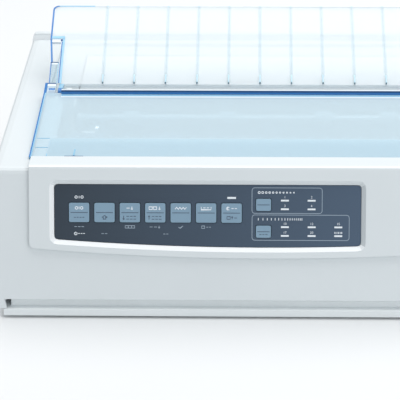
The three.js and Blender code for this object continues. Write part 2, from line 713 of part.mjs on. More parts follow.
// ---- Carriage, print head, ribbon and belt ------------------------------------------------------

function carriage() {
  const x = (dx) => PARK_X + dx;
  const main = block(x(-35), x(35), 116, 140, 42, 64);
  const arm = block(x(-30), x(30), RAIL.y0 + 1, 120, RAIL.z1 + 0.6, RAIL.z1 + 4.4);
  const clip = block(x(-8), x(8), 109, 118, 34.5, 45.5);
  const bore = barX(ROD.radius + GAP, x(-36), x(36), ROD.y, ROD.z, 16);
  const beltSlot = block(x(-9), x(9), 111.8, 114.5, BELT.z0 - GAP, BELT.z1 + GAP);
  return cut(join(main, arm, clip), bore, beltSlot);
}

function printHead() {
  const x = (dx) => PARK_X + dx;
  const body = block(x(-15), x(15), 112, 130, 66.8, 94);
  const fins = [0, 1, 2, 3].map((i) => block(x(-17.5), x(17.5), 112.5 + i * 4, 114.5 + i * 4, 68, 93));
  const nose = alongY(rectangle(76, 88, x(-6), x(6), 2), 129, 149);
  const foot = block(x(-20), x(20), 124, 139, 64.4, 68);
  return join(body, nose, foot, ...fins);
}

function ribbonCartridge() {
  const x = (dx) => PARK_X + dx;
  const box = alongZ(rectangle(x(-44), x(44), 97, 134, 5), 84, 97);
  const headSpace = block(x(-18), x(18), 111.4, 140, 80, 100);
  const arms = [-1, 1].map((side) => {
    const [a, b] = span(side, 22, 28);
    return block(x(a), x(b), 130, 150.2, 77, 91);
  });
  const strand = block(x(-28), x(28), 149.6, 150.2, 78, 88);
  const knobWell = postZ(6, x(-31), 108, 90, 98, 16);
  return cut(join(cut(box, headSpace), ...arms, strand), knobWell);
}

function ribbonKnob() {
  const hub = postZ(5.4, PARK_X - 31, 108, 90.6, 98, 16);
  return join(hub, postZ(8, PARK_X - 31, 108, 97.4, 103, 16));
}

function driveBelt() {
  const { x, y, z0, z1, pulley, thick } = BELT;
  const loop = (radius) => {
    const shape = new THREE.Shape();
    shape.absarc(x, y, radius, -Math.PI / 2, Math.PI / 2, false);
    shape.absarc(-x, y, radius, Math.PI / 2, (Math.PI * 3) / 2, false);
    return shape;
  };
  const inside = pulley + 0.3;
  const outer = extruded(loop(inside + thick), z0, z1, 8);
  const hollow = extruded(loop(inside), z0 - 1, z1 + 1, 8);
  return cut(solid(outer), solid(hollow));
}

function beltPulley(x, bore) {
  const wheel = postZ(BELT.pulley, x, BELT.y, BELT.z0 - GAP, BELT.z1 + GAP, 20);
  return cut(wheel, postZ(bore, x, BELT.y, 0, 60, 12));
}

function carriageMotor() {
  const { x, y, z0, z1 } = BELT;
  const can = postZ(20, x, y, CHASSIS.z + CHASSIS.thick + GAP, z0 - 4, 24);
  return join(can, postZ(2.2, x, y, z0 - 5, z1, 12));
}

piece("carriage_rod", barX(ROD.radius, -FRAME.inner - 2, FRAME.inner + 2, ROD.y, ROD.z, 16), STEEL);
const RAIL_END = FRAME.inner - GAP;
piece("front_rail", block(-RAIL_END, RAIL_END, RAIL.y0, RAIL.y1, RAIL.z0, RAIL.z1), ZINC);
piece("carriage", carriage(), BLACK_PLASTIC);
piece("print_head", printHead(), ZINC);
piece("ribbon_cartridge", ribbonCartridge(), RIBBON);
piece("ribbon_knob", ribbonKnob(), BLACK_PLASTIC);
piece("drive_belt", driveBelt(), RUBBER);
piece("drive_pulley", beltPulley(BELT.x, 2.5), STEEL);
piece("idler_pulley", beltPulley(-BELT.x, BELT.post + 0.3), STEEL);
piece("carriage_motor", carriageMotor(), BLACK_PLASTIC);

// ---- Paper bail ---------------------------------------------------------------------------------

// A flat link, round at both ends, from one point to another in a plane across X.
function link(x0, x1, from, to, radius) {
  const angle = Math.atan2(to[1] - from[1], to[0] - from[0]);
  const shape = new THREE.Shape();
  shape.absarc(to[0], to[1], radius, angle - Math.PI / 2, angle + Math.PI / 2, false);
  shape.absarc(from[0], from[1], radius, angle + Math.PI / 2, angle + (Math.PI * 3) / 2, false);
  return alongX(shape, x0, x1, 4);
}

function paperBail() {
  const { y, z, radius, pivotY, pivotZ, pivot, armX } = BAIL;
  const solids = [barX(radius, -armX, armX, y, z, 12)];
  for (const side of [-1, 1]) {
    solids.push(link(...span(side, armX - 1.5, armX + 1.5), [pivotY, pivotZ], [y, z], 4));
    solids.push(barX(pivot, ...span(side, armX, FRAME.inner + 2.5), pivotY, pivotZ, 12));
  }
  return join(...solids);
}

function bailRoller(x) {
  const { radius, width } = BAIL_ROLLER;
  const roller = barX(radius, x - width / 2, x + width / 2, BAIL.y, BAIL.z, 16);
  return cut(roller, barX(BAIL.radius + 0.3, x - width, x + width, BAIL.y, BAIL.z, 12));
}

piece("paper_bail", paperBail(), STEEL);
BAIL_ROLLER.places.forEach((x, i) => piece(`bail_roller_${i + 1}`, bailRoller(x), WHITE_PLASTIC));

// ---- Levers -------------------------------------------------------------------------------------

function paperLever() {
  const { x, y, pivotZ, topZ, pin } = PAPER_LEVER;
  const arm = link(x - 1.5, x + 1.5, [y, pivotZ], [y, topZ - 6], 4);
  const grip = block(x - 2.5, x + 4, y - 6, y + 6, SHOULDER + 6, topZ);
  return join(arm, grip, barX(pin, FRAME.inner - 1.5, x, y, pivotZ, 12));
}

function gapLever() {
  const { x, y, pivotZ, topZ, pin } = GAP_LEVER;
  const arm = link(x - 1.5, x + 1.5, [y, pivotZ], [y, topZ - 3], 3);
  return join(arm, barX(pin, x, FRAME.inner + 2.5, y, pivotZ, 12));
}

piece("paper_lever", paperLever(), WHITE_PLASTIC);
piece("head_gap_lever", gapLever(), SLATE);

// ---- Tractors -----------------------------------------------------------------------------------

function tractorBody(side) {
  const { x, half, driveY, guideY, z, high, drive, guide } = TRACTOR;
  const body = link(side * x - half, side * x + half, [driveY, z], [guideY, z], high);
  const cutBar = (radius, y) => barX(radius, side * x - half - 1, side * x + half + 1, y, z, 16);
  return cut(body, cutBar(drive * 0.75 + GAP, driveY), cutBar(guide + GAP, guideY));
}

// The paper clamp on a tractor, hinged along its outer edge.
function tractorDoor(side) {
  const { x, half, driveY, guideY, z, high } = TRACTOR;
  const [x0, x1] = span(side, x - half, x + half);
  const top = z + high;
  const slots = [0.25, 0.5, 0.75].map((share) => {
    const y = driveY + share * (guideY - driveY);
    return block(side * x - 2, side * x + 2, y - 6, y + 6, top, top + 4);
  });
  return cut(block(x0, x1, driveY - 4, guideY + 4, top + GAP, top + GAP + 2), ...slots);
}

for (const [name, side] of [["left", -1], ["right", 1]]) {
  piece(`tractor_${name}`, tractorBody(side), WHITE_PLASTIC);
  piece(`tractor_door_${name}`, tractorDoor(side), WHITE_PLASTIC);
}

function tractorDrive() {
  const { driveY, z, drive, barEnd } = TRACTOR;
  return block(-barEnd, barEnd, driveY - drive / 2, driveY + drive / 2, z - drive / 2, z + drive / 2);
}

piece("tractor_drive_shaft", tractorDrive(), STEEL);
const guideRod = barX(TRACTOR.guide, -TRACTOR.barEnd, TRACTOR.barEnd, TRACTOR.guideY, TRACTOR.z, 16);
piece("tractor_guide_rod", guideRod, STEEL);

// ---- Electronics --------------------------------------------------------------------------------

function mainBoard() {
  const z = 18; // underside of the board
  const board = block(-30, 150, 214, 292, z, z + 1.6);
  const chipPlaces = [[20, 240], [60, 240], [100, 262], [60, 270]];
  const chips = chipPlaces.map(([x, y]) => block(x - 14, x + 14, y - 7, y + 7, z + 1, z + 6));
  const foot = CHASSIS.z + CHASSIS.thick + GAP;
  const stands = [-22, 142].flatMap((x) => [220, 286].map((y) => postZ(3, x, y, foot, z + 0.5, 8)));
  return join(board, ...chips, ...stands);
}

function powerInlet() {
  const { x, z, half, high } = PORTS.inlet;
  const wide = half - GAP;
  const tall = high - GAP;
  const mouthY = 330;
  const body = block(x - wide, x + wide, mouthY - 12, DEPTH - 0.5, z - tall, z + tall);
  const mouth = block(x - half + 3, x + half - 3, mouthY, DEPTH + 1, z - high + 3, z + high - 3);
  const pins = [-7, 0, 7].map((dx) => block(x + dx - 1, x + dx + 1, mouthY - 1, mouthY + 11, z - 2, z + 3));
  return join(cut(body, mouth), ...pins);
}

// The rocker rests pressed at its lower end.
function powerSwitch() {
  const { x, z, half } = PORTS.rocker;
  const y = 341;
  const tilt = 0.12;
  const face = new THREE.BoxGeometry(2 * half - 1.2, 9, 18.4).rotateX(tilt).translate(x, y, z);
  return join(solid(face), block(x - 3, x + 3, y - 9, y - 3, z - 3, z + 3));
}

function interfaceSocket() {
  const { x, z, half, high } = PORTS.socket;
  const wide = half - GAP;
  const tall = high - GAP;
  const mouthY = 336;
  const body = block(x - wide, x + wide, mouthY - 10, DEPTH + SOCKET_PROUD, z - tall, z + tall);
  const mouth = block(x - 24, x + 24, mouthY, DEPTH + 2, z - 5, z + 5);
  const tongue = block(x - 21, x + 21, mouthY - 1, mouthY + 5, z - 2, z + 2);
  return join(cut(body, mouth), tongue);
}

piece("main_board", mainBoard(), BOARD);
piece("power_supply", block(-155, -60, 226, 292, CHASSIS.z + CHASSIS.thick + GAP, 46), ZINC);
piece("power_inlet", powerInlet(), BLACK_PLASTIC);
piece("power_switch", powerSwitch(), BLACK_PLASTIC);
piece("interface_socket", interfaceSocket(), ZINC);

export default printer;
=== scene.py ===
"""A desktop dot-matrix form printer, piece by piece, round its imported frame."""

import math

import bmesh
import bpy
from mathutils import Matrix, Vector


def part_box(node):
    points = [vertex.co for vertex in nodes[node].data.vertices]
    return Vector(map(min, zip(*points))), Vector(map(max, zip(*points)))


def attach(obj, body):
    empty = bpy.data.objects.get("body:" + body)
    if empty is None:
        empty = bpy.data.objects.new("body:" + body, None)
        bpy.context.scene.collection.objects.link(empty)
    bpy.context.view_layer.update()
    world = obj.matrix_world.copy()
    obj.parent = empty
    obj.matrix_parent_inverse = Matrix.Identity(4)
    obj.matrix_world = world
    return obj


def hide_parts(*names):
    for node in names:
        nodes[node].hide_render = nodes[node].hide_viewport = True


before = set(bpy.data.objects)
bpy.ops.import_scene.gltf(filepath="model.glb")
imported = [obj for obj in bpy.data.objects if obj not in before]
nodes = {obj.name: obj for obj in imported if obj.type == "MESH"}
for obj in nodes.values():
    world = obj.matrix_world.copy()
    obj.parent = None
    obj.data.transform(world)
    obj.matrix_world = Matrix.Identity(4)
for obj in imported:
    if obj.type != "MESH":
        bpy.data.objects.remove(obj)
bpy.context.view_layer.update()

# ---- Table top, light and camera ------------------------------------------------------------------
# The printer stands on a wide pale table, under soft light from overhead and from the front right. A
# long lens looks down on its front.

housing_low, housing_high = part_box("upper_housing")
middle_x = (housing_low.x + housing_high.x) / 2

table_mesh = bpy.data.meshes.new("table")
table_reach = 6.0
table_corners = [(-1, -1), (1, -1), (1, 1), (-1, 1)]
table_mesh.from_pydata([(x * table_reach, y * table_reach, 0) for x, y in table_corners], [], [(0, 1, 2, 3)])
table = bpy.data.objects.new("table", table_mesh)
bpy.context.scene.collection.objects.link(table)

table_paint = bpy.data.materials.new("table_paint")
table_paint.use_nodes = True
table_shader = table_paint.node_tree.nodes["Principled BSDF"]
table_shader.inputs["Base Color"].default_value = (0.80, 0.81, 0.815, 1)
table_shader.inputs["Roughness"].default_value = 0.6
table_shader.inputs["Specular IOR Level"].default_value = 0.2
table_mesh.materials.append(table_paint)

room = bpy.data.worlds.new("room")
room.use_nodes = True
room_light = room.node_tree.nodes["Background"]
room_light.inputs["Color"].default_value = (0.93, 0.965, 1.0, 1)
room_light.inputs["Strength"].default_value = 0.62
bpy.context.scene.world = room


def soft_lamp(name, place, aim, size, power, colour):
    lamp = bpy.data.lights.new(name, "AREA")
    lamp.shape = "SQUARE"
    lamp.size = size
    lamp.energy = power
    lamp.color = colour
    holder = bpy.data.objects.new(name, lamp)
    holder.location = place
    holder.rotation_euler = (Vector(aim) - Vector(place)).to_track_quat("-Z", "Y").to_euler()
    bpy.context.scene.collection.objects.link(holder)


soft_lamp("overhead_lamp", (0.1, 0.35, 1.9), (0, 0.05, 0.1), 2.2, 34, (1.0, 0.99, 0.98))
soft_lamp("front_lamp", (1.3, -1.8, 1.1), (0.1, 0, 0.06), 1.2, 9, (0.95, 0.98, 1.0))

camera_data = bpy.data.cameras.new("camera")
camera_data.sensor_width = 36
camera_data.lens = 192.15
camera = bpy.data.objects.new("camera", camera_data)
camera_place = (middle_x - 0.007, -1.60875, 0.675)
camera_tilt, camera_turn, camera_roll = math.radians(22.0), math.radians(1.47), math.radians(-0.30)
level = math.cos(camera_tilt)
ahead = Vector((-math.sin(camera_turn) * level, math.cos(camera_turn) * level, -math.sin(camera_tilt)))
level_right = ahead.cross(Vector((0, 0, 1))).normalized()
level_up = level_right.cross(ahead)
right = level_right * math.cos(camera_roll) + level_up * math.sin(camera_roll)
up = level_up * math.cos(camera_roll) - level_right * math.sin(camera_roll)
turn = Matrix((right, up, -ahead)).transposed().to_4x4()
camera.matrix_world = Matrix.Translation(camera_place) @ turn
camera_data.clip_end = 50
bpy.context.scene.collection.objects.link(camera)
bpy.context.scene.camera = camera
bpy.context.scene.view_settings.view_transform = "Standard"

# ---- Base pan and feet ----------------------------------------------------------------------------
# A shallow tray moulded in light grey ABS, which everything is screwed to. Four moulded rubber feet
# are pressed into its corners, each with a shallow grip ring on its sole.

base_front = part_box("base_pan")[0].y
mm = 0.001
rightward, backward, upward = Vector((1, 0, 0)), Vector((0, 1, 0)), Vector((0, 0, 1))


def at(x, y, z):
    """A place in the printer: mm right of its middle, behind the base's front edge and above the table."""
    return Vector((middle_x + x * mm, base_front + y * mm, z * mm))


def start_paint(name):
    """A new paint, with its skin and the place on the piece that its textures follow."""
    paint = bpy.data.materials.new(name)
    paint.use_nodes = True
    return paint, paint.node_tree.nodes["Principled BSDF"], step(paint, "TexCoord").outputs["Object"]


def fill(paint, node, inputs):
    """Gives each named input of a paint's node its number or colour, or links it to another's output."""
    for name, value in inputs.items():
        if isinstance(value, bpy.types.NodeSocket):
            paint.node_tree.links.new(value, node.inputs[name])
        else:
            node.inputs[name].default_value = value


def step(paint, kind, inputs=None, **settings):
    """Adds one node to a paint."""
    node = paint.node_tree.nodes.new(f"ShaderNode{kind}")
    for name, value in settings.items():
        setattr(node, name, value)
    fill(paint, node, inputs or {})
    return node


def blend(paint, amount, first, second):
    """Mixes two colours by an amount. Each is a colour, or the output of another node."""
    ends = {"A": first, "B": second}
    for end, colour in ends.items():
        if not isinstance(colour, bpy.types.NodeSocket):
            ends[end] = (*colour, 1)
    return step(paint, "Mix", {"Factor": amount, **ends}, data_type="RGBA").outputs["Result"]


def scaled(colour, share):
    return [min(1, c * share) for c in colour]


def noise(paint, place, scale, detail):
    return step(paint, "TexNoise", {"Scale": scale, "Detail": detail, "Vector": place}).outputs["Fac"]


def roughen(paint, skin, texture, low, high, bump, depth):
    """Lets a texture vary a skin's gloss from low to high roughness, and raise it by a small depth."""
    gloss = step(paint, "MapRange", {"Value": texture, "To Min": low, "To Max": high})
    relief = step(paint, "Bump", {"Strength": bump, "Distance": depth, "Height": texture})
    fill(paint, skin, {"Roughness": gloss.outputs["Result"], "Normal": relief.outputs["Normal"]})


def moulded_plastic(name, colour, roughness=0.5, grain=0.0006, bump=0.15, drift=0.03):
    """Plastic with a fine spark-eroded texture, a slow drift in its shade and a little uneven gloss."""
    paint, skin, place = start_paint(name)
    drifting = noise(paint, place, 14, 2)
    shade = blend(paint, drifting, scaled(colour, 1 - drift), scaled(colour, 1 + drift))
    fill(paint, skin, {"Base Color": shade})
    sparks = noise(paint, place, 1 / grain, 3)
    roughen(paint, skin, sparks, roughness - 0.06, roughness + 0.06, bump, grain / 4)
    return paint


def round_edges(piece, width, segments, angle):
    """Rounds a piece's edges as its mould or its tumbling would."""
    rounding = piece.modifiers.new("rounded_edges", "BEVEL")
    rounding.width = width
    rounding.segments = segments
    rounding.limit_method = "ANGLE"
    rounding.angle_limit = math.radians(angle)
    rounding.harden_normals = True


def finish_node(node, paint, edge=0.0):
    """Gives a carried-over piece its finish, and rounds its edges."""
    piece = nodes[node]
    piece.data.materials.clear()
    piece.data.materials.append(paint)
    if edge:
        merge = piece.modifiers.new("flat_faces", "DECIMATE")
        merge.decimate_type = "DISSOLVE"
        merge.angle_limit = math.radians(0.6)
        round_edges(piece, edge, 2, 28)
        piece.data.shade_smooth()


def add_piece(name, shape, body, slot, *paints, edge=0.0, smooth=True):
    """Turns a drawn shape into a piece that rides on a body."""
    bmesh.ops.recalc_face_normals(shape, faces=shape.faces[:])
    mesh = bpy.data.meshes.new(name)
    shape.to_mesh(mesh)
    shape.free()
    for paint in paints:
        mesh.materials.append(paint)
    piece = bpy.data.objects.new(name, mesh)
    bpy.context.scene.collection.objects.link(piece)
    if smooth:
        mesh.shade_smooth()
        mesh.set_sharp_from_angle(angle=math.radians(32))
    if edge:
        round_edges(piece, edge, 2, 32)
    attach(piece, body)
    return piece


def join_rings(shape, rings, paint):
    """Closes a run of equal rings of points into one solid, and paints it."""
    faces = [shape.faces.new(rings[0][::-1]), shape.faces.new(rings[-1])]
    for low, high in zip(rings, rings[1:]):
        for i in range(len(low)):
            j = (i + 1) % len(low)
            faces.append(shape.faces.new((low[i], low[j], high[j], high[i])))
    for face in faces:
        face.material_index = paint
    return faces


def prism(shape, ring, push, paint=0):
    """A solid from an outline pushed along one direction."""
    ends = [[shape.verts.new(point) for point in ring], [shape.verts.new(point + push) for point in ring]]
    return join_rings(shape, ends, paint)


def brick(shape, x, y, z, paint=0):
    """A rectangular solid, given its (low, high) stretch along each of the printer's directions."""
    ring = [at(x[0], y[0], z[0]), at(x[1], y[0], z[0]), at(x[1], y[1], z[0]), at(x[0], y[1], z[0])]
    return prism(shape, ring, upward * ((z[1] - z[0]) * mm), paint)


def round_ring(shape, middle, across, third, radius, sides):
    """Points round a middle, in the plane of two directions."""
    ring = []
    for i in range(sides):
        angle = 2 * math.pi * i / sides
        out = across * math.cos(angle) + third * math.sin(angle)
        ring.append(shape.verts.new(middle + out * radius * mm))
    return ring


def turned(shape, start, direction, profile, sides=24, paint=0):
    """A solid turned about a line, from (distance along the line, radius) pairs in mm."""
    along = direction.normalized()
    across = along.orthogonal().normalized()
    third = along.cross(across)
    rings = []
    for distance, radius in profile:
        rings.append(round_ring(shape, start + along * distance * mm, across, third, radius, sides))
    return join_rings(shape, rings, paint)


# The base pan is painted a lighter grey than the housing's ABS: painted light in the shade under the
# housing's overhang.
base_grey_painted_lighter = moulded_plastic("base_grey_painted_lighter", (0.80, 0.84, 0.85), 0.48)
foot_rubber = moulded_plastic("foot_rubber", (0.030, 0.031, 0.034), 0.85, 0.0004, 0.5)
finish_node("base_pan", base_grey_painted_lighter, 0.0005)
for end in ("front", "rear"):
    for side in ("left", "right"):
        finish_node(f"foot_{end}_{side}", foot_rubber, 0.0004)

# ---- Upper housing --------------------------------------------------------------------------------
# One large moulding in the same grey ABS drops over the base pan: the sloping front, the two
# shoulders, the deck round the print bay and the hinge brackets. Screws hold it from underneath.


def paint_light_by_facing(paint, axis, start, full, colour):
    """Paints light and shade into a paint: blends it towards a second colour on the faces that look along
    one direction.
    """
    skin = paint.node_tree.nodes["Principled BSDF"]
    plain = skin.inputs["Base Color"].links[0].from_socket
    facing = step(paint, "SeparateXYZ", {"Vector": step(paint, "TexCoord").outputs["Normal"]})
    amount = step(paint, "MapRange", {"Value": facing.outputs[axis], "From Min": start, "From Max": full})
    fill(paint, skin, {"Base Color": blend(paint, amount.outputs["Result"], plain, colour)})


housing_shade = (0.700, 0.745, 0.762)
upper_grey = moulded_plastic("upper_grey", housing_shade, 0.48)
# Painted light: faces that look straight ahead are painted paler, as if lit from the front.
paint_light_by_facing(upper_grey, "Y", -0.975, -0.995, (0.92, 0.94, 0.95))
finish_node("upper_housing", upper_grey, 0.0007)

# ---- Front panel ----------------------------------------------------------------------------------
# A separate moulding clips into the housing's front. It stands proud of the face, its lower edge is
# a shallow arc, and a chamfered recess holds the key panel.

panel_grey = moulded_plastic("panel_grey", housing_shade, 0.48)
# Painted light and shade: faces that look right or up are painted paler as a highlight, faces that look left
# darker as shade; flat tops keep the housing's grey.
paint_light_by_facing(panel_grey, "X", 0.35, 0.75, (0.96, 0.98, 0.99))
paint_light_by_facing(panel_grey, "X", -0.35, -0.85, (0.42, 0.46, 0.48))
paint_light_by_facing(panel_grey, "Z", 0.50, 0.72, (0.97, 0.99, 1.0))
paint_light_by_facing(panel_grey, "Z", 0.93, 0.99, housing_shade)
finish_node("front_panel", panel_grey, 0.0008)

# ---- Key panel ------------------------------------------------------------------------------------
# A slate blue plate with a fine matt texture, bonded in the front panel's recess. Its marks are
# screen printed in pale ink: two outlined groups, headings, numbers and a sign for each key.

face_foot_y, face_foot_z = 3.0, 15.0
face_lean = math.atan2(25.5, 93.0)
face_out = Vector((0, -math.cos(face_lean), math.sin(face_lean)))


def on_face(x, s, out):
    """A place on the sloping front: mm right of its middle, up the slope and out of the face."""
    y = face_foot_y + s * math.sin(face_lean) - out * math.cos(face_lean)
    z = face_foot_z + s * math.cos(face_lean) + out * math.sin(face_lean)
    return at(x, y, z)


def slate_with_painted_light():
    """The plate's slate blue, with painted light that makes it a little lighter towards its right-hand end.
    """
    paint = moulded_plastic("key_panel_slate", (0.05, 0.07, 0.10), 0.5, 0.0005, 0.2, 0.04)
    skin = paint.node_tree.nodes["Principled BSDF"]
    plain = skin.inputs["Base Color"].links[0].from_socket
    place = step(paint, "SeparateXYZ", {"Vector": step(paint, "TexCoord").outputs["Object"]})
    low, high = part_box("control_panel")
    ends = {"From Min": low.x, "From Max": high.x}
    along = step(paint, "MapRange", {"Value": place.outputs["X"], **ends}).outputs["Result"]
    # Painted light: the slate lightens from left to right, as if lit from the front right.
    painted_light_ramp = blend(paint, along, (0.016, 0.030, 0.046), (0.064, 0.108, 0.172))
    fill(paint, skin, {"Base Color": blend(paint, 0.8, plain, painted_light_ramp)})
    return paint


def ink(name, colour):
    return moulded_plastic(name, colour, 0.6, 0.0002, 0.1, 0.02)


white_ink = ink("white_ink", (0.80, 0.85, 0.90))
pale_ink = ink("pale_ink", (0.34, 0.42, 0.50))
dark_ink = ink("dark_ink", (0.07, 0.10, 0.15))
finish_node("control_panel", slate_with_painted_light(), 0.0003)


def ribbon(shape, points, width, out, closed=False):
    """A thin printed line through points on the face, in mm."""
    count = len(points)
    left, right = [], []
    for i, (x, s) in enumerate(points):
        before = points[(i - 1) % count] if closed or i else points[i]
        after = points[(i + 1) % count] if closed or i < count - 1 else points[i]
        heading = Vector((after[0] - before[0], after[1] - before[1])).normalized()
        side = Vector((-heading.y, heading.x)) * width / 2
        if closed or 0 < i < count - 1:
            first = Vector((x - before[0], s - before[1])).normalized()
            side /= max(0.5, abs(first.dot(heading)))
        left.append(shape.verts.new(on_face(x + side.x, s + side.y, out)))
        right.append(shape.verts.new(on_face(x - side.x, s - side.y, out)))
    for i in range(count if closed else count - 1):
        j = (i + 1) % count
        shape.faces.new((right[i], right[j], left[j], left[i]))


def arc(x, s, radius, start=0.0, sweep=360.0, steps=14):
    angles = [math.radians(start + sweep * i / steps) for i in range(steps + 1)]
    return [(x + radius * math.cos(a), s + radius * math.sin(a)) for a in angles]


def outline(left, right, low, high, radius):
    """A rectangle with round corners."""
    points = []
    for x, s, start in ((right, low, -90), (right, high, 0), (left, high, 90), (left, low, 180)):
        middle_of_x = x + (radius if x == left else -radius)
        middle_of_s = s + (radius if s == low else -radius)
        points += arc(middle_of_x, middle_of_s, radius, start, 90, 4)
    return points


def arrow(x, s, up=1, high=0.9, wide=0.7):
    tip, barb = (x, s + up * high), s + up * (high - wide)
    return [[(x, s - up * high), tip], [(x - wide, barb), tip, (x + wide, barb)]]


def dashes(x, s, count, long=1.4, pitch=2.1):
    first = x - (count - 1) * pitch / 2
    return [[(first + i * pitch - long / 2, s), (first + i * pitch + long / 2, s)] for i in range(count)]


def sheet_sign(x, s, wide=1.1, high=0.9):
    corners = [(x - wide, s - high), (x + wide, s - high), (x + wide, s + high), (x - wide, s + high)]
    return [corners + corners[:1]]


line_width, bold_width = 0.42, 0.5


def print_marks(name, strokes, body, paint, out, width=line_width, outlines=()):
    shape = bmesh.new()
    for points in strokes:
        ribbon(shape, points, width, out)
    for points in outlines:
        ribbon(shape, points, line_width, out, closed=True)
    add_piece(name, shape, body, "key_panel", paint, smooth=False)


def print_numbers(name, numbers, height, body, paint, out):
    """Numbers printed on the face: each is (text, x, s)."""
    upright = Matrix((rightward, face_out.cross(rightward), face_out)).transposed().to_4x4()
    letters = []
    for text, x, s in numbers:
        curve = bpy.data.curves.new(name, "FONT")
        curve.body = text
        curve.size = height * mm / 0.7
        curve.align_x = "CENTER"
        curve.align_y = "CENTER"
        letter = bpy.data.objects.new(name, curve)
        letter.matrix_world = Matrix.Translation(on_face(x, s, out)) @ upright
        bpy.context.scene.collection.objects.link(letter)
        letters.append(letter)
    bpy.context.view_layer.update()
    shape = bmesh.new()
    for letter in letters:
        flat = letter.to_mesh()
        flat.transform(letter.matrix_world)
        shape.from_mesh(flat)
        letter.to_mesh_clear()
        bpy.data.objects.remove(letter)
    add_piece(name, shape, body, "key_panel", paint, smooth=False)


panel_print = 0.06
key_middle = {}
row_keys = ("select", "shift", "line_feed", "form_feed", "tear_off", "park", "quiet")
small_keys = ("print_quality", "character_pitch")
for name in row_keys + small_keys:
    low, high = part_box(f"key_{name}")
    key_middle[name] = ((low.x + high.x) / 2 - middle_x) * 1000
select_x, shift_x, feed_x, form_x, tear_x, park_x, quiet_x = [key_middle[name] for name in row_keys]

group_lines = [outline(-6.1, 45.5, 63.9, 82.8, 2.0), outline(-6.0, 65.5, 43.9, 62.7, 2.0)]
heading_dots = [arc(-0.8 + 2.55 * i, 79.3, 0.78 - 0.045 * i, steps=10) for i in range(11)]
bar_steps = (0, 3.4, 6.6, 9.6, 12.4, 15, 17.4, 19.6, 21.6, 23.4, 25.1, 26.7, 28.2, 29.6, 30.9, 32.1)
heading_bars = [[(-1.4 + along, 58.6), (-1.4 + along, 60.4)] for along in bar_steps]
print_marks("group_outlines", [], "root", pale_ink, panel_print, outlines=group_lines)
print_marks("group_headings", heading_dots + heading_bars, "root", white_ink, panel_print, bold_width)

quality_lamps = [(x, s) for s in (73.4, 67.0) for x in (18.1, 37.7)]
pitch_lamps = [(18.2, 53.7), (37.9, 53.7), (57.5, 53.7), (18.2, 47.2), (37.9, 47.2), (57.5, 47.2)]
number_rise = 2.4
quality_numbers = [(str(i + 1), x, s + number_rise) for i, (x, s) in enumerate(quality_lamps)]
pitches = ("10", "12", "15", "17", "20")
pitch_numbers = [(text, x, s + number_rise) for text, (x, s) in zip(pitches, pitch_lamps)]
print_numbers("lamp_numbers", quality_numbers + pitch_numbers, 1.75, "root", white_ink, panel_print)
even_bars = [[(57.5 + along, 48.9), (57.5 + along, 50.3)] for along in (-2.6, -1.6, -0.2, 0.5, 1.9, 2.6)]

below, above, foot = 53.4, 75.4, 48.3
faint_signs = [
    *dashes(select_x, below, 3, 1.9, 2.6),
    *sheet_sign(feed_x - 2.4, below),
    *sheet_sign(feed_x, below),
    *sheet_sign(feed_x + 2.4, below),
    *dashes(form_x - 1.5, below, 2, 2.2, 3.2),
    *arrow(form_x + 2.8, below, -1),
    [(tear_x - 1.6, below), (tear_x - 0.5, below - 0.9), (tear_x + 1.7, below + 0.9)],
    *sheet_sign(park_x - 2.2, below),
    *dashes(park_x + 1.8, below, 2, 1.4, 2.0),
    *dashes(-115, 48.3, 2, 1.8, 2.5),
    *dashes(-69.6, 48.2, 2, 1.5, 2.2),
]
print_marks("faint_key_signs", faint_signs, "root", pale_ink, panel_print)
bright_signs = [
    arc(select_x - 2.6, foot, 1.0, 125, 290),
    [(select_x - 2.6, foot + 0.1), (select_x - 2.6, foot + 1.3)],
    *dashes(select_x + 1.7, foot, 3, 1.3, 1.9),
    arc(select_x - 2.2, above, 0.9),
    [(select_x, above - 0.9), (select_x, above + 0.9)],
    arc(select_x + 2.2, above, 0.9),
    *even_bars,
]
print_marks("bright_panel_signs", bright_signs, "root", white_ink, panel_print, bold_width)

# ---- Indicator lamps ------------------------------------------------------------------------------
# Short milky lenses of polycarbonate are pressed through the key panel, one over each indicator LED
# on the board behind it, with a longer one over the last key of the row.

lens_white = moulded_plastic("lens_white", (0.82, 0.87, 0.91), 0.25, 0.0004, 0.05)
lens_low, lens_high = -1.2, 0.3


def lens(shape, x, s, wide, high):
    """A lens standing a little out of the sloping face, centred at x, s."""
    corners = [(x - wide / 2, s - high / 2), (x + wide / 2, s - high / 2)]
    corners += [(x + wide / 2, s + high / 2), (x - wide / 2, s + high / 2)]
    prism(shape, [on_face(a, b, lens_low) for a, b in corners], face_out * (lens_high - lens_low) * mm)


lamp_shape = bmesh.new()
for x, s in quality_lamps + pitch_lamps:
    lens(lamp_shape, x, s, 5.9, 1.3)
lens(lamp_shape, quiet_x, 75.2, 6.4, 1.5)
add_piece("indicator_lenses", lamp_shape, "root", "white_plastic", lens_white, edge=0.0002)

# ---- Keys -----------------------------------------------------------------------------------------
# Nine loose key caps moulded in steel blue stand a little out of the panel on their own switches.
# Each has an engraved line across its middle. Most have a white sign above it or a dark one below.

key_blue = moulded_plastic("key_blue", (0.222, 0.342, 0.446), 0.45, 0.0004, 0.12)
key_print, sign_width = 0.56, 0.55
row_s, row_line, small_line = 64.0, 12.6, 9.0
upper_s, lower_s = 67.4, 60.4


def key_marks(name, white=(), dark=(), s=row_s, line_long=row_line):
    body = f"key_{name}"
    if white:
        print_marks(f"{body}_white_sign", white, body, white_ink, key_print, sign_width)
    line = dashes(key_middle[name], s, 1, line_long)
    print_marks(f"{body}_dark_sign", [*line, *dark], body, dark_ink, key_print, bold_width)


def fine_rows(x):
    """Two rows of dashes, which stand for the small words low on a key."""
    return [*dashes(x + 1.0, lower_s + 0.9, 3, 1.9, 2.6), *dashes(x + 1.0, lower_s - 1.2, 3, 1.9, 2.6)]


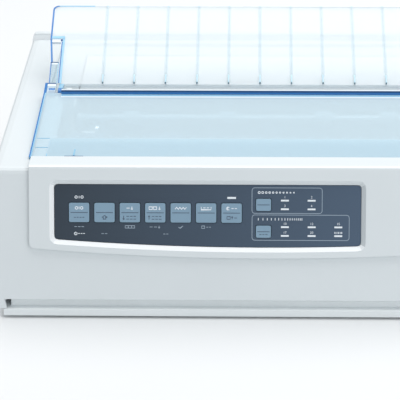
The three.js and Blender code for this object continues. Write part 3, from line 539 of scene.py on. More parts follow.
for name in key_middle:
    finish_node(f"key_{name}", key_blue, 0.00035)
select_bar = [(select_x, upper_s - 1), (select_x, upper_s + 1)]
select_sign = [arc(select_x - 1.9, upper_s, 0.95), select_bar, arc(select_x + 1.9, upper_s, 0.95)]
key_marks("select", select_sign, dashes(select_x, lower_s, 4, 1.4, 2.1))
shift_half = [(0, 1.5), (-1.9, 0), (-0.9, 0), (-0.9, -1.3)]
shift_line = shift_half + [(-x, s) for x, s in shift_half[::-1]]
key_marks("shift", (), [[(shift_x + x, lower_s + s) for x, s in shift_line]])
feed_sign = [*dashes(feed_x - 1.3, upper_s, 1, 2.4), *arrow(feed_x + 1.5, upper_s, -1, 1.1)]
key_marks("line_feed", feed_sign, [*arrow(feed_x - 4.6, lower_s - 0.1, -1, 1.4), *fine_rows(feed_x)])
form_sheets = [*sheet_sign(form_x - 3.4, upper_s, 1.2, 1.0), *sheet_sign(form_x - 0.2, upper_s, 1.2, 1.0)]
form_sign = [*form_sheets, *arrow(form_x + 3.1, upper_s, -1, 1.1)]
key_marks("form_feed", form_sign, [*arrow(form_x - 4.6, lower_s - 0.1, 1, 1.4), *fine_rows(form_x)])
tear_line = [(tear_x - 4.2 + 1.2 * i, upper_s + (0.7 if i % 2 else -0.7)) for i in range(8)]
key_marks("tear_off", [tear_line])
park_tray = [(park_x + x, upper_s + s) for x, s in ((-3.6, 1), (-3.6, -1), (3.6, -1), (3.6, 1))]
key_marks("park", [park_tray, *dashes(park_x, upper_s + 0.4, 2, 1.8, 2.6)])
crescent = arc(quiet_x - 2.6, upper_s, 1.1, 50, 260) + arc(quiet_x - 2.0, upper_s, 0.9, 290, -230)
top_arrow = [*arrow(quiet_x + 0.4, lower_s, 1, 1.0), *dashes(quiet_x + 3.0, lower_s, 1, 2.0)]
top_sign = [*sheet_sign(quiet_x - 2.2, lower_s, 1.2, 1.0), *top_arrow]
key_marks("quiet", [crescent, *dashes(quiet_x + 1.9, upper_s, 2, 1.6, 2.4)], top_sign)
key_marks("print_quality", s=70.2, line_long=small_line)
pitch_dashes = dashes(key_middle["character_pitch"], 48.2, 3, 1.5, 2.2)
key_marks("character_pitch", (), pitch_dashes, 50.3, small_line)

# ---- Access cover ---------------------------------------------------------------------------------
# Moulded in clear styrene with a light blue tint, which its thin edges gather into a deep blue. The
# front strip is frosted, the rear edge turns up, and two lugs clip over the housing's hinge pins.


def tinted_clear(name, tint, haze, roughness, haze_colour, grain=0.0):
    """Clear tinted plastic: light goes straight through, with a little haze and a glossy skin."""
    paint, skin, place = start_paint(name)
    fill(paint, skin, {"Base Color": (*haze_colour, 1), "Roughness": roughness})
    depth = blend(paint, noise(paint, place, 22, 2), tint, [c ** 1.12 for c in tint])
    clear = step(paint, "BsdfTransparent", {"Color": depth})
    slant = step(paint, "LayerWeight", {"Blend": 0.5}).outputs["Facing"]
    glance = step(paint, "Math", {0: slant, 1: 4}, operation="POWER").outputs["Value"]
    share = step(paint, "Math", {0: glance, 1: 0.35, 2: haze}, operation="MULTIPLY_ADD", use_clamp=True)
    both = {"Fac": share.outputs["Value"], 1: clear.outputs["BSDF"], 2: skin.outputs["BSDF"]}
    mix = step(paint, "MixShader", both)
    fill(paint, paint.node_tree.nodes["Material Output"], {"Surface": mix.outputs["Shader"]})
    if grain:
        frost = noise(paint, place, 1 / grain, 2)
        relief = step(paint, "Bump", {"Strength": 0.5, "Distance": grain / 2, "Height": frost})
        fill(paint, skin, {"Normal": relief.outputs["Normal"]})
    return paint


def edge_blue(name, colour, shade, see_through=0.0):
    """An opaque edge colour, lighter and darker along it. Besides the blues gathered in edges, it makes the
    painted highlight and the painted reflection.
    """
    paint, skin, place = start_paint(name)
    streaks = blend(paint, noise(paint, place, 30, 3), colour, shade)
    fill(paint, skin, {"Roughness": 0.15, "Alpha": 1 - see_through, "Base Color": streaks})
    return paint


cover_clear = tinted_clear("cover_clear", (0.930, 0.978, 0.997), 0.50, 0.12, (0.74, 0.88, 0.95))
cover_frosted = tinted_clear("cover_frosted", (0.895, 0.955, 0.985), 0.62, 0.35, (0.56, 0.73, 0.82), 0.0007)
deep_edge = edge_blue("deep_blue_edge", (0.030, 0.22, 0.58), (0.018, 0.14, 0.42))
navy_edge = edge_blue("navy_edge", (0.004, 0.055, 0.17), (0.010, 0.09, 0.27))
# The pale blue paint is edge colour and also the lip's painted reflection in the sheet; the near-white one
# is a painted highlight.
pale_edge_and_reflection = edge_blue("pale_blue_edge_and_painted_reflection", (0.30, 0.62, 0.86), (0.42, 0.74, 0.93), 0.25)
painted_highlight_edge = edge_blue("painted_highlight_edge", (0.90, 0.95, 0.98), (0.85, 0.93, 0.97), 0.2)
cover_paints = (cover_clear, cover_frosted, deep_edge, navy_edge, pale_edge_and_reflection, painted_highlight_edge)
CLEAR, FROSTED, DEEP, NAVY, PALE_EDGE_AND_REFLECTION, PAINTED_HIGHLIGHT = range(6)

cover_half, sheet_half, cover_thick = 172.4, 170.4, 2.5
cover_front_y, cover_back_y, cover_rear_y = 47.2, 171.5, 177.5
cover_front_z, cover_back_z = 110.0, 117.2
skirt_foot, skirt_thick = 108.6, 2
frost_start, frost_end, frost_half = 48.4, 81.5, 159.0
highlight_start, reflection_start, reflection_end, lip_half = 162.8, 165.3, 168.9, 158
hinge_y, hinge_z = 180, 113.8


def cover_top(y):
    slope = (cover_back_z - cover_front_z) / (cover_back_y - cover_front_y)
    return cover_front_z + (min(y, cover_back_y) - cover_front_y) * slope


def on_side(side, a, b):
    """The (low, high) stretch between two distances left (-1) or right (1) of the middle."""
    return sorted((side * a, side * b))


def collar(inner, outer, thick):
    """The profile of a turned ring."""
    return [(0, inner), (0, outer), (thick, outer), (thick, inner)]


def side_cut(shape, x, outline_yz, wide, paint):
    """A solid from an outline seen from the side, so many mm wide."""
    prism(shape, [at(x, y, z) for y, z in outline_yz], rightward * (wide * mm), paint)


def skinned(shape, columns, rows, top, bottom, paint_of):
    """A plate with a square grid of faces above and below, closed round its rim."""
    upper = [[shape.verts.new(top(x, y)) for x in columns] for y in rows]
    lower = [[shape.verts.new(bottom(x, y)) for x in columns] for y in rows]
    last_row, last_column = len(rows) - 1, len(columns) - 1
    for j in range(last_row):
        for i in range(last_column):
            paint = paint_of((columns[i] + columns[i + 1]) / 2, (rows[j] + rows[j + 1]) / 2)
            for grid in (upper, lower):
                corners = (grid[j][i], grid[j][i + 1], grid[j + 1][i + 1], grid[j + 1][i])
                shape.faces.new(corners).material_index = paint
    rim = []
    for i in range(last_column):
        rim += [(0, i, 0, i + 1), (last_row, i, last_row, i + 1)]
    for j in range(last_row):
        rim += [(j, 0, j + 1, 0), (j, last_column, j + 1, last_column)]
    for a, b, c, d in rim:
        shape.faces.new((upper[a][b], upper[c][d], lower[c][d], lower[a][b])).material_index = PALE_EDGE_AND_REFLECTION


# On the sheet, the strip just in front of the lip is painted pale blue as the lip's reflection, and the
# narrow strip in front of that is a painted highlight.
def sheet_paint(x, y):
    if abs(x) > sheet_half - 1.0:
        return DEEP
    if abs(x) < lip_half and reflection_start < y < reflection_end:
        return PALE_EDGE_AND_REFLECTION
    if abs(x) < lip_half and highlight_start < y <= reflection_start:
        return PAINTED_HIGHLIGHT
    if abs(x) < frost_half and frost_start < y < frost_end:
        return FROSTED
    return CLEAR


cover_shape = bmesh.new()
half_columns = [80, lip_half, frost_half, sheet_half]
skinned(
    cover_shape,
    [-x for x in half_columns[::-1]] + [0] + half_columns,
    [cover_front_y, frost_start, frost_end, 110, 140, highlight_start, reflection_start, reflection_end, cover_back_y],
    lambda x, y: at(x, y, cover_top(y)),
    lambda x, y: at(x, y, cover_top(y) - cover_thick),
    sheet_paint,
)
lobe_wide, corner_z = 6.7, 117.22
rise = [(176.5, corner_z), (187.6, 119.8), (187.6, corner_z)]
top_of_rise = [(186.6, 119.9), (187.65, 120.2), (187.65, 119.0), (186.6, 118.8)]
glint = [(183.6, 118.9), (186.4, 119.55), (186.4, 119.65), (183.6, 119.0)]
fin = [(171.5, 117.2), (187.6, 120.2), (187.6, 119.6), (178, 117)]
for side in (-1, 1):
    inner, outer = on_side(side, cover_half - skirt_thick, cover_half)
    skinned(
        cover_shape,
        [inner, inner + 1, outer] if side < 0 else [inner, outer - 1, outer],
        [cover_front_y, 80, 120, 160, cover_back_y, cover_rear_y],
        lambda x, y: at(x, y, cover_top(y) + 0.05),
        lambda x, y: at(x, y, skirt_foot),
        lambda x, y: DEEP if abs(x) > cover_half - 1 else PALE_EDGE_AND_REFLECTION,
    )
    lobe = on_side(side, 163.6, 170.35)
    brick(cover_shape, lobe, (cover_back_y + 0.1, 187.8), (114.8, 117.2), CLEAR)
    # On each lobe the rise's top is navy, and the glint along it is a painted highlight.
    side_cut(cover_shape, lobe[0], rise, lobe_wide, CLEAR)
    side_cut(cover_shape, lobe[0], top_of_rise, lobe_wide, NAVY)
    side_cut(cover_shape, lobe[0], glint, lobe_wide, PAINTED_HIGHLIGHT)
    side_cut(cover_shape, inner, fin, skirt_thick, DEEP)
    turned(cover_shape, at(side * 164, hinge_y, hinge_z), rightward * side, collar(2.4, 4.4, 5), 20, DEEP)
for side in (-1, 1):
    for rib_y in (frost_end - 0.4, frost_end - 17.4):
        rib_z = (cover_top(rib_y), cover_top(rib_y) + 0.35)
        stretch = on_side(side, frost_half + 0.6, sheet_half - 1.2)
        brick(cover_shape, stretch, (rib_y, rib_y + 0.5), rib_z, PALE_EDGE_AND_REFLECTION)
    rib_x = side * (frost_half + 0.5)
    rib_z = (cover_top(frost_start), cover_top(frost_start) + 0.3)
    brick(cover_shape, (rib_x - 0.3, rib_x + 0.3), (frost_start, frost_end), rib_z, PALE_EDGE_AND_REFLECTION)
    clip_x, clip_start, clip_end = side * 139, cover_front_y + 0.3, cover_front_y + 1.6
    brick(cover_shape, (clip_x - 7, clip_x + 7), (clip_start, clip_end), (110.05, 110.4), NAVY)
    spring = (clip_end, cover_front_y + 14)
    brick(cover_shape, (clip_x - 0.6, clip_x + 0.6), spring, (110.3, 110.95), PALE_EDGE_AND_REFLECTION)
lip = (cover_back_y - cover_thick + 0.05, cover_back_y)
# The lip is deep blue, then navy, and the thin strip along its top is a painted highlight.
brick(cover_shape, (-lip_half, lip_half), lip, (117.25, 118.8), DEEP)
brick(cover_shape, (-lip_half, lip_half), lip, (118.82, 120.4), NAVY)
brick(cover_shape, (0.1 - lip_half, lip_half - 0.1), lip, (120.42, 120.55), PAINTED_HIGHLIGHT)
cover_name = "access_cover_moulding"
cover = add_piece(cover_name, cover_shape, "access_cover", "tinted_cover", *cover_paints, smooth=False)
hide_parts("access_cover")

# ---- Paper separator ------------------------------------------------------------------------------
# A second clear moulding leans behind the cover on the same hinge pins, and keeps the fresh forms
# apart from the printed ones. Ribs an inch apart stiffen it, and each lower corner has a finger hole.

separator_clear = tinted_clear("separator_clear", (0.978, 0.990, 0.996), 0.42, 0.12, (0.82, 0.875, 0.90))
rib_clear = tinted_clear("separator_rib", (0.972, 0.988, 0.995), 0.10, 0.15, (0.80, 0.88, 0.91))
tab_clear = tinted_clear("separator_tab", (0.88, 0.93, 0.955), 0.2, 0.15, (0.62, 0.74, 0.80))
soft_edge = edge_blue("soft_blue_edge", (0.42, 0.62, 0.72), (0.50, 0.70, 0.80))
separator_paints = (separator_clear, rib_clear, *cover_paints[2:], tab_clear, soft_edge)
PLATE, RIB, CLEAR_TAB, SOFT = 0, 1, 6, 7
low_y, low_z, high_y, high_z = 195.6, 116.4, 278.5, 157.2
stand_low = at(0, low_y, low_z)
stand_lean = math.atan2(high_z - low_z, high_y - low_y)
stand_length = math.hypot(high_z - low_z, high_y - low_y)
stand_half, stand_low_half, stand_thick = 172.6, 170.6, 2.2
plate_half, hole_low, hole_high, tab_inner = 162.4, 25.0, 52.0, 163.9
stand_up = Vector((0, math.cos(stand_lean), math.sin(stand_lean)))
stand_out = Vector((0, -math.sin(stand_lean), math.cos(stand_lean)))
rib_pitch = 25.4


def on_stand(x, along, out):
    """A place on the leaning plate: mm right of its middle, up the plate and out of its front."""
    return stand_low + Vector((x * mm, 0, 0)) + stand_up * along * mm + stand_out * out * mm


def stand_cut(points, low, high, paint):
    """A solid on the plate, from an outline in its plane and its two heights out of the front."""
    places = [on_stand(x, a, low) for x, a in points]
    return prism(separator_shape, places, stand_out * (high - low) * mm, paint)


def stand_block(x, along, out, paint):
    stand_cut([(x[0], along[0]), (x[1], along[0]), (x[1], along[1]), (x[0], along[1])], *out, paint)


def rounded_corner(side, radius=5.0, steps=5):
    """The plate's upper corner on one side, from right to left."""
    turns = range(steps + 1) if side > 0 else range(steps, -1, -1)
    angles = [math.pi / 2 * i / steps for i in turns]
    x, along = side * (stand_half - radius), stand_length - radius
    return [(x + side * radius * math.cos(a), along + radius * math.sin(a)) for a in angles]


def edge_strip(points, width, paint):
    """A thin band just inside an outline on the plate's front."""
    for start, end in zip(points, points[1:]):
        heading = Vector((end[0] - start[0], end[1] - start[1])).normalized()
        in_x, in_along = -heading.y * width, heading.x * width
        inside = [(end[0] + in_x, end[1] + in_along), (start[0] + in_x, start[1] + in_along)]
        stand_cut([start, end, *inside], 0.02, 0.14, paint)


separator_shape = bmesh.new()
right_corner, left_corner = rounded_corner(1), rounded_corner(-1)
plate_line = [(-plate_half, 0), (plate_half, 0), (plate_half, hole_high), (171.0, hole_high)]
plate_line += [(stand_half, hole_high), *right_corner, *left_corner]
plate_line += [(-stand_half, hole_high), (-plate_half, hole_high)]
plate = stand_cut(plate_line, -stand_thick, 0, PLATE)
# The plate's rim faces along its top and over each finger hole take a painted highlight; the short outer
# ones are deep blue, the bottom one clear rib.
for face, start in zip(plate[2:], plate_line):
    face.material_index = RIB if start[1] < 1 else PAINTED_HIGHLIGHT if abs(start[0]) < 169 else DEEP
corner_reach = stand_half - 35
edge_strip([(stand_half, hole_high), *right_corner], 1.4, DEEP)
edge_strip([*left_corner, (-stand_half, hole_high)], 1.4, DEEP)
# Along the top edge run pale edge strips and a strip of painted highlight.
edge_strip([right_corner[-1], (corner_reach, stand_length)], 1.1, PALE_EDGE_AND_REFLECTION)
edge_strip([(corner_reach, stand_length), (-corner_reach, stand_length)], 0.9, PAINTED_HIGHLIGHT)
edge_strip([(-corner_reach, stand_length), left_corner[0]], 1.1, PALE_EDGE_AND_REFLECTION)
rib_along, foot_along = (9.2, stand_length - 1.2), (0.6, 9.0)
for i in range(-5, 6):
    x = i * rib_pitch
    stand_block((x - 1.4, x + 1.4), rib_along, (0.02, 0.5), RIB)
    stand_block((x - 0.25, x + 0.25), rib_along, (0.52, 0.9), RIB)
    stand_block((x - 0.6, x + 0.6), foot_along, (0.02, 2.3), SOFT)
    stand_block((x - 0.35, x + 0.35), foot_along, (2.32, 2.4), SOFT)
    stand_block((x - 0.4, x + 0.4), (stand_length - 2.4, stand_length - 0.8), (0.92, 0.98), SOFT)
flange_out = (-4, -2.25)
stand_block((-plate_half, plate_half), (0, 2), flange_out, RIB)
for side in (-1, 1):
    flange = on_side(side, 158.2, 161.6)
    stand_block(flange, (2.1, hole_high + 4), flange_out, RIB)
    stand_block(on_side(side, 160.6, 162.2), (1, hole_high + 3.4), (0.02, 0.2), PALE_EDGE_AND_REFLECTION)
    stand_block(on_side(side, 162.3, 163.1), (1, hole_high - 3), (0.02, 0.4), DEEP)
    band = on_side(side, 160.6, stand_half - 1.3)
    stand_block(band, (hole_high + 0.6, hole_high + 3.4), (0.22, 0.4), PALE_EDGE_AND_REFLECTION)
    # Painted highlights: a strip just under each finger hole's top edge, and one on the tab below the hole.
    stand_block(on_side(side, tab_inner, 171), (hole_high - 3.4, hole_high - 0.1), (-2.2, 0), PAINTED_HIGHLIGHT)
    tab = [(tab_inner, 0.6), (stand_low_half, 0.6), (stand_low_half, hole_low), (tab_inner, hole_low)]
    stand_cut([(side * x, a) for x, a in tab], -stand_thick, 0, CLEAR_TAB)
    for a, b, paint in ((tab_inner, 164.4, PALE_EDGE_AND_REFLECTION), (stand_low_half - 0.8, stand_low_half, DEEP)):
        stand_block(on_side(side, a, b), (0.7, hole_low - 0.1), (0.02, 0.3), paint)
    stand_block(on_side(side, tab_inner, stand_low_half), (hole_low - 0.7, hole_low), (0.32, 0.5), NAVY)
    stand_block(on_side(side, 164.5, 169.7), (hole_low - 2.6, hole_low - 0.9), (0.02, 0.2), PAINTED_HIGHLIGHT)
    strip = [(168.8, hole_low), (170.4, hole_low), (stand_half, hole_high - 0.1), (171.2, hole_high - 0.1)]
    stand_cut([(side * x, a) for x, a in strip], -stand_thick, 0, DEEP)
    arm = [(179, 109.8), (197, 112.8), (198, 116.3), (179, 118.0)]
    side_cut(separator_shape, flange[0], arm, 3.4, PALE_EDGE_AND_REFLECTION)
    lug = at(side * 158.2, hinge_y, hinge_z)
    turned(separator_shape, lug, rightward * side, collar(2.4, 4.4, 3.4), 20, DEEP)
stand_name, stand_body = "paper_separator_moulding", "paper_separator"
stand = add_piece(stand_name, separator_shape, stand_body, "tinted_cover", *separator_paints, smooth=False)
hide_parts("paper_separator")

# ---- Rear paper guide -----------------------------------------------------------------------------
# A white moulded plate with low ribs bridges the opening behind the platen. The finger tab on it is
# for lifting it out to reach the tractors.

guide_white = moulded_plastic("guide_white", (0.80, 0.83, 0.85), 0.5, 0.0005, 0.1)
finish_node("rear_guide", guide_white, 0.0004)

# ---- Side frames and chassis ----------------------------------------------------------------------
# Two pressed plates and a floor plate in zinc-plated steel carry the whole mechanism. They are
# screwed to each other and to bosses in the base pan.


def plated_metal(name, colour, roughness=0.38, crystal=260, scratch=900):
    """Plated sheet metal: crystals in the plating, fine scratches and uneven brightness."""
    paint, skin, place = start_paint(name)
    grains = step(paint, "TexVoronoi", {"Scale": crystal, "Vector": place}).outputs["Distance"]
    shade = blend(paint, grains, scaled(colour, 0.93), scaled(colour, 1.06))
    fill(paint, skin, {"Metallic": 0.85, "Base Color": shade})
    scratches = noise(paint, place, scratch, 3)
    roughen(paint, skin, scratches, roughness - 0.08, roughness + 0.10, 0.12, 0.0001)
    return paint


zinc_plating = plated_metal("zinc_plating", (0.66, 0.70, 0.74))
screw_steel = plated_metal("screw_steel", (0.70, 0.71, 0.72), 0.3)
painted_recess_shade = moulded_plastic("painted_screw_recess_shade", (0.05, 0.052, 0.056), 0.6)


def cross_screw(shape, place, out, radius=2.6, paint=0, dark=1):
    """A pan-head screw whose cross recess is not cut but painted: a thin dark cross of painted shade on its
    head.
    """
    profile = [(0.02, radius), (0.7, radius), (1.15, radius * 0.82), (1.4, radius * 0.5)]
    turned(shape, place, out, profile, 16, paint)
    along = out.normalized()
    across = along.orthogonal().normalized()
    third = along.cross(across)
    middle = place + along * 0.00142
    # The dark cross stands for the shade inside the recess.
    for one, other in ((across, third), (third, across)):
        arm, waist = one * radius * 0.00055, other * radius * 0.00014
        recess = [middle + arm + waist, middle - arm + waist, middle - arm - waist, middle + arm - waist]
        prism(shape, recess, along * 0.00004, dark)


for name in ("chassis_plate", "side_frame_left", "side_frame_right"):
    finish_node(name, zinc_plating, 0.0003)
frame_screws = bmesh.new()
frame_folds = bmesh.new()
for side in (-1, 1):
    for y in (104, 200, 288):
        cross_screw(frame_screws, at(side * 163.05, y, 18), rightward * side)
    for y in (132, 206, 290):
        cross_screw(frame_screws, at(side * 148, y, 12.05), upward, 3.0)
    for y in (96, 196, 276):
        brick(frame_folds, on_side(side, 150, 159.9), (y, y + 16), (12.02, 13.2))
add_piece("frame_screws", frame_screws, "root", "ground_steel", screw_steel, painted_recess_shade)
add_piece("frame_folds", frame_folds, "root", "zinc_plate", zinc_plating, edge=0.0003)

# ---- Platen and its knob --------------------------------------------------------------------------
# A hard rubber sleeve bonded to a ground steel shaft, which backs the paper under the print pins. A
# fluted moulded knob pressed on its right end turns it by hand.


def ground_bar(name, colour=(0.72, 0.73, 0.75), roughness=0.2):
    """Ground steel bar, with fine marks round it."""
    paint, skin, place = start_paint(name)
    fill(paint, skin, {"Metallic": 0.9, "Base Color": (*colour, 1)})
    stretched = step(paint, "Mapping", {"Vector": place, "Scale": (2600, 60, 60)}).outputs["Vector"]
    marks = noise(paint, stretched, 1, 4)
    roughen(paint, skin, marks, roughness - 0.05, roughness + 0.12, 0.1, 0.00005)
    return paint


bar_steel = ground_bar("bar_steel")
platen_rubber = moulded_plastic("platen_rubber", (0.16, 0.175, 0.19), 0.62, 0.0005, 0.25, 0.06)
knob_plastic = moulded_plastic("knob_plastic", (0.66, 0.70, 0.73), 0.45)
platen_y, platen_z, knob_face = 168, 82, 213.02

finish_node("platen_roller", platen_rubber, 0.0006)
finish_node("platen_shaft", bar_steel, 0.0004)
finish_node("platen_knob", knob_plastic, 0.0006)
knob_cap = bmesh.new()
cap_profile = [(0, 13), (0.3, 13), (0.6, 12.4), (0.6, 7), (0.35, 6.5), (0.35, 3)]
turned(knob_cap, at(knob_face, platen_y, platen_z), rightward, cap_profile, 48)
mark_count, mark_ends = 24, ((15, -0.03), (17, -0.03), (17, 0.03), (15, 0.03))
for i in range(mark_count):
    turn = 2 * math.pi * (i + 0.5) / mark_count
    mark = [(math.cos(turn + d) * r, math.sin(turn + d) * r) for r, d in mark_ends]
    side_cut(knob_cap, knob_face, [(platen_y + a, platen_z + b) for a, b in mark], 0.3, 0)
add_piece("knob_cap", knob_cap, "platen", "white_plastic", knob_plastic, edge=0.0002)
platen_ends = bmesh.new()
for side in (-1, 1):
    end_collar = [(0, 4.3), (0, 9), (3, 9), (3.4, 8.6), (3.4, 4.3)]
    turned(platen_ends, at(side * 128.2, platen_y, platen_z), rightward * side, end_collar, 32)
    clip = at(side * 158.4, platen_y, platen_z)
    turned(platen_ends, clip, rightward * side, collar(4.1, 6, 0.8), 24, 1)
add_piece("platen_end_collars", platen_ends, "platen", "ground_steel", bar_steel, screw_steel, edge=0.0001)

# ---- Line feed gears and motor --------------------------------------------------------------------
# A steel pinion on a can stepper motor drives a moulded acetal idler, which drives the gear pinned
# to the platen shaft. Two screws and a lug hold the motor to the left side frame.

gear_acetal = moulded_plastic("gear_acetal", (0.72, 0.73, 0.70), 0.42, 0.0005, 0.1)
motor_black = moulded_plastic("motor_black", (0.055, 0.058, 0.063), 0.5, 0.0005, 0.3)
wire_red = moulded_plastic("wire_red", (0.42, 0.04, 0.035), 0.5)
wire_blue = moulded_plastic("wire_blue", (0.04, 0.12, 0.38), 0.5)
wire_white = moulded_plastic("wire_white", (0.66, 0.66, 0.64), 0.5)


def wire(shape, points, radius, paint=0, sides=8, steps=5):
    """A round lead that runs smoothly through a list of places."""
    smooth = []
    for i in range(len(points) - 1):
        before, start = points[max(0, i - 1)], points[i]
        end, after = points[i + 1], points[min(len(points) - 1, i + 2)]
        for k in range(steps):
            t = k / steps
            a = (end - before) * 0.5 * (t - 2 * t * t + t * t * t)
            b = (after - start) * 0.5 * (t * t * t - t * t)
            smooth.append(start * (1 - 3 * t * t + 2 * t ** 3) + end * (3 * t * t - 2 * t ** 3) + a + b)
    smooth.append(points[-1])
    rings = []
    for i, middle in enumerate(smooth):
        heading = (smooth[min(i + 1, len(smooth) - 1)] - smooth[max(i - 1, 0)]).normalized()
        across = heading.cross(Vector((0.13, 0.21, 0.97))).normalized()
        rings.append(round_ring(shape, middle, across, heading.cross(across), radius, sides))
    join_rings(shape, rings, paint)


def loom(name, paths, radius):
    """Covered leads side by side, in red, blue and white."""
    leads = bmesh.new()
    for i, path in enumerate(paths):
        wire(leads, [at(*place) for place in path], radius, i % 3)
    add_piece(name, leads, "root", "rubber", wire_red, wire_blue, wire_white)


finish_node("platen_gear", gear_acetal, 0.0002)
finish_node("idler_gear", gear_acetal, 0.0002)
finish_node("motor_pinion", screw_steel, 0.0001)
finish_node("line_feed_motor", motor_black, 0.0006)
gear_webs = bmesh.new()
gear_face = at(-149.98, platen_y, platen_z)
turned(gear_webs, gear_face, rightward, [(0, 4.4), (0, 7), (0.8, 7), (1, 6.8), (1, 4.4)], 28)
turned(gear_webs, gear_face, rightward, collar(13.4, 15.2, 0.5), 36)
add_piece("platen_gear_hub", gear_webs, "platen", "white_plastic", gear_acetal, edge=0.0001)
motor_trim = bmesh.new()
motor_x, motor_y, motor_z = -128.98, 189.9, 43.7
end_boss = [(0, 5), (0.9, 5), (1.2, 4.6), (1.2, 2)]
turned(motor_trim, at(motor_x, motor_y, motor_z), rightward, end_boss, 24, 1)
for turn in range(6):
    angle = math.pi / 3 * turn + 0.3
    spot = at(motor_x, motor_y + 13 * math.cos(angle), motor_z + 13 * math.sin(angle))
    cross_screw(motor_trim, spot, rightward, 1.5, 1, 2)
for x in (-144, -138.4, -132.8):
    turned(motor_trim, at(x, motor_y, motor_z), rightward, collar(17.4, 17.9, 1.2), 40, 1)
add_piece("motor_trim", motor_trim, "root", "black_plastic", motor_black, screw_steel, painted_recess_shade)
motor_paths = []
for i in range(4):
    y = 199 + i * 1.7
    path = [(-138, y, 29.5), (-136 + i, y + 4, 24), (-110, y + 15, 14.2), (-62, y + 20, 14.2)]
    motor_paths.append(path + [(-38, 222 + i * 2.2, 15), (-27, 226 + i * 2.5, 20.4)])
loom("motor_leads", motor_paths, 0.7)

# ---- Paper pan ------------------------------------------------------------------------------------
# A curved sheet of bright steel under the platen that turns the forms up to the print line. Its ends
# are spot welded to the side frames' tabs.

pan_steel = plated_metal("pan_steel", (0.62, 0.65, 0.68), 0.3, 500, 1400)
finish_node("paper_pan", pan_steel)
pan_dimples = bmesh.new()
pan_radius = 19.45
for x in (-100, -50, 0, 50, 100):
    for turn in (-0.78, -0.5, -0.22):
        angle = math.pi * turn
        spot = at(x, platen_y + pan_radius * math.cos(angle), platen_z + pan_radius * math.sin(angle))
        out = Vector((0, math.cos(angle), math.sin(angle)))
        turned(pan_dimples, spot, out, [(0, 2.6), (0.25, 2.4), (0.3, 1.6)], 14)
add_piece("pan_dimples", pan_dimples, "root", "ground_steel", pan_steel)

# ---- Carriage rod, front rail and bay comb --------------------------------------------------------
# The carriage slides on a ground steel rod and rests on a folded zinc-plated rail. A white moulded
# comb clipped along the bay's front edge keeps torn forms out of the mechanism.

comb_white = moulded_plastic("comb_white", (0.84, 0.87, 0.88), 0.5)
finish_node("carriage_rod", bar_steel, 0.0004)
finish_node("front_rail", zinc_plating, 0.0004)
comb_half, comb_pitch, comb_y, comb_low, comb_high = 152, 12.7, (92.8, 94.4), 100, 107.8
bay_comb = bmesh.new()
brick(bay_comb, (-comb_half, comb_half), comb_y, (comb_low, comb_high))
for i in range(-11, 12):
    tooth = (i * comb_pitch - 0.9, i * comb_pitch + 0.9)
    brick(bay_comb, tooth, comb_y, (comb_high, comb_high + 2.0))
    brick(bay_comb, tooth, (comb_y[1], comb_y[1] + 1.5), (comb_high - 5, comb_high + 1.2))
add_piece("bay_comb", bay_comb, "root", "white_plastic", comb_white, edge=0.0002)
rail_screws = bmesh.new()
for side in (-1, 1):
    cross_screw(rail_screws, at(side * 156, 100, 62.05), upward, 2.4)
add_piece("rail_screws", rail_screws, "root", "ground_steel", screw_steel, painted_recess_shade)

# ---- Carriage and print head ----------------------------------------------------------------------
# A glass-filled nylon block with a bore for the rod carries the cast-alloy head, whose fins shed
# its heat. A clamp screw each side holds the head, and a flat cable feeds its pin magnets.

carriage_black = moulded_plastic("carriage_black", (0.045, 0.048, 0.052), 0.55, 0.0005, 0.3)
head_alloy = plated_metal("head_alloy", (0.42, 0.44, 0.46), 0.5, 700, 1500)
head_resin = moulded_plastic("head_resin", (0.03, 0.04, 0.055), 0.35)
cable_film = moulded_plastic("cable_film", (0.60, 0.64, 0.66), 0.4, 0.0008, 0.1)
cable_copper = moulded_plastic("cable_copper", (0.42, 0.36, 0.28), 0.4)
parked_x = -104

finish_node("carriage", carriage_black, 0.0005)
finish_node("print_head", head_alloy, 0.0004)
head_parts = bmesh.new()
for side in (-1, 1):
    cross_screw(head_parts, at(parked_x + side * 17.6, 131, 68.05), upward, 2.0)
    cross_screw(head_parts, at(parked_x + side * 32.5, 128, 64.05), upward, 2.2)
for i in range(5):
    angle = math.pi / 5 * (i + 0.5)
    for side in (-1, 1):
        magnet = at(parked_x + side * 9 * math.cos(angle), 117 + 7 * math.sin(angle), 94.02)
        turned(head_parts, magnet, upward, [(0, 1.5), (0.7, 1.5), (0.9, 1.2)], 12, 2)
nose_plate = [(-4.5, 76.6), (4.5, 76.6), (4.5, 87.4), (-4.5, 87.4)]
prism(head_parts, [at(parked_x + x, 149.02, z) for x, z in nose_plate], Vector((0, 0.0003, 0)), 2)
for column in (-0.6, 0.6):
    for row in range(9):
        pin = at(parked_x + column, 149.3, 78.6 + row * 0.85)
        turned(head_parts, pin, backward, [(0, 0.2), (0.15, 0.2)], 8, 0)
add_piece("head_fittings", head_parts, "carriage", "head_alloy", screw_steel, painted_recess_shade, head_resin)


def flat_band(shape, path, x_low, x_high, thick, paint):
    """A thin band of even width that follows a path in a plane across the printer."""
    for (y0, z0), (y1, z1) in zip(path, path[1:]):
        away = Vector((0, -(z1 - z0), y1 - y0)).normalized() * thick * mm
        flat = [at(x_low, y0, z0), at(x_high, y0, z0), at(x_high, y1, z1), at(x_low, y1, z1)]
        prism(shape, flat, away, paint)


head_cable = bmesh.new()
cable_path = [(111.8, 90), (110, 88.5), (108.6, 85), (108.4, 79), (109.2, 74), (111.2, 71), (114, 69.8)]
flat_band(head_cable, cable_path, parked_x - 12, parked_x + 12, 0.25, 0)
track_path = [(y - 0.06, z) for y, z in cable_path]
for i in range(14):
    x = parked_x - 10.8 + i * 1.66
    flat_band(head_cable, track_path, x - 0.4, x + 0.4, 0.04, 1)
add_piece("head_cable", head_cable, "carriage", "circuit_board", cable_film, cable_copper, smooth=False)

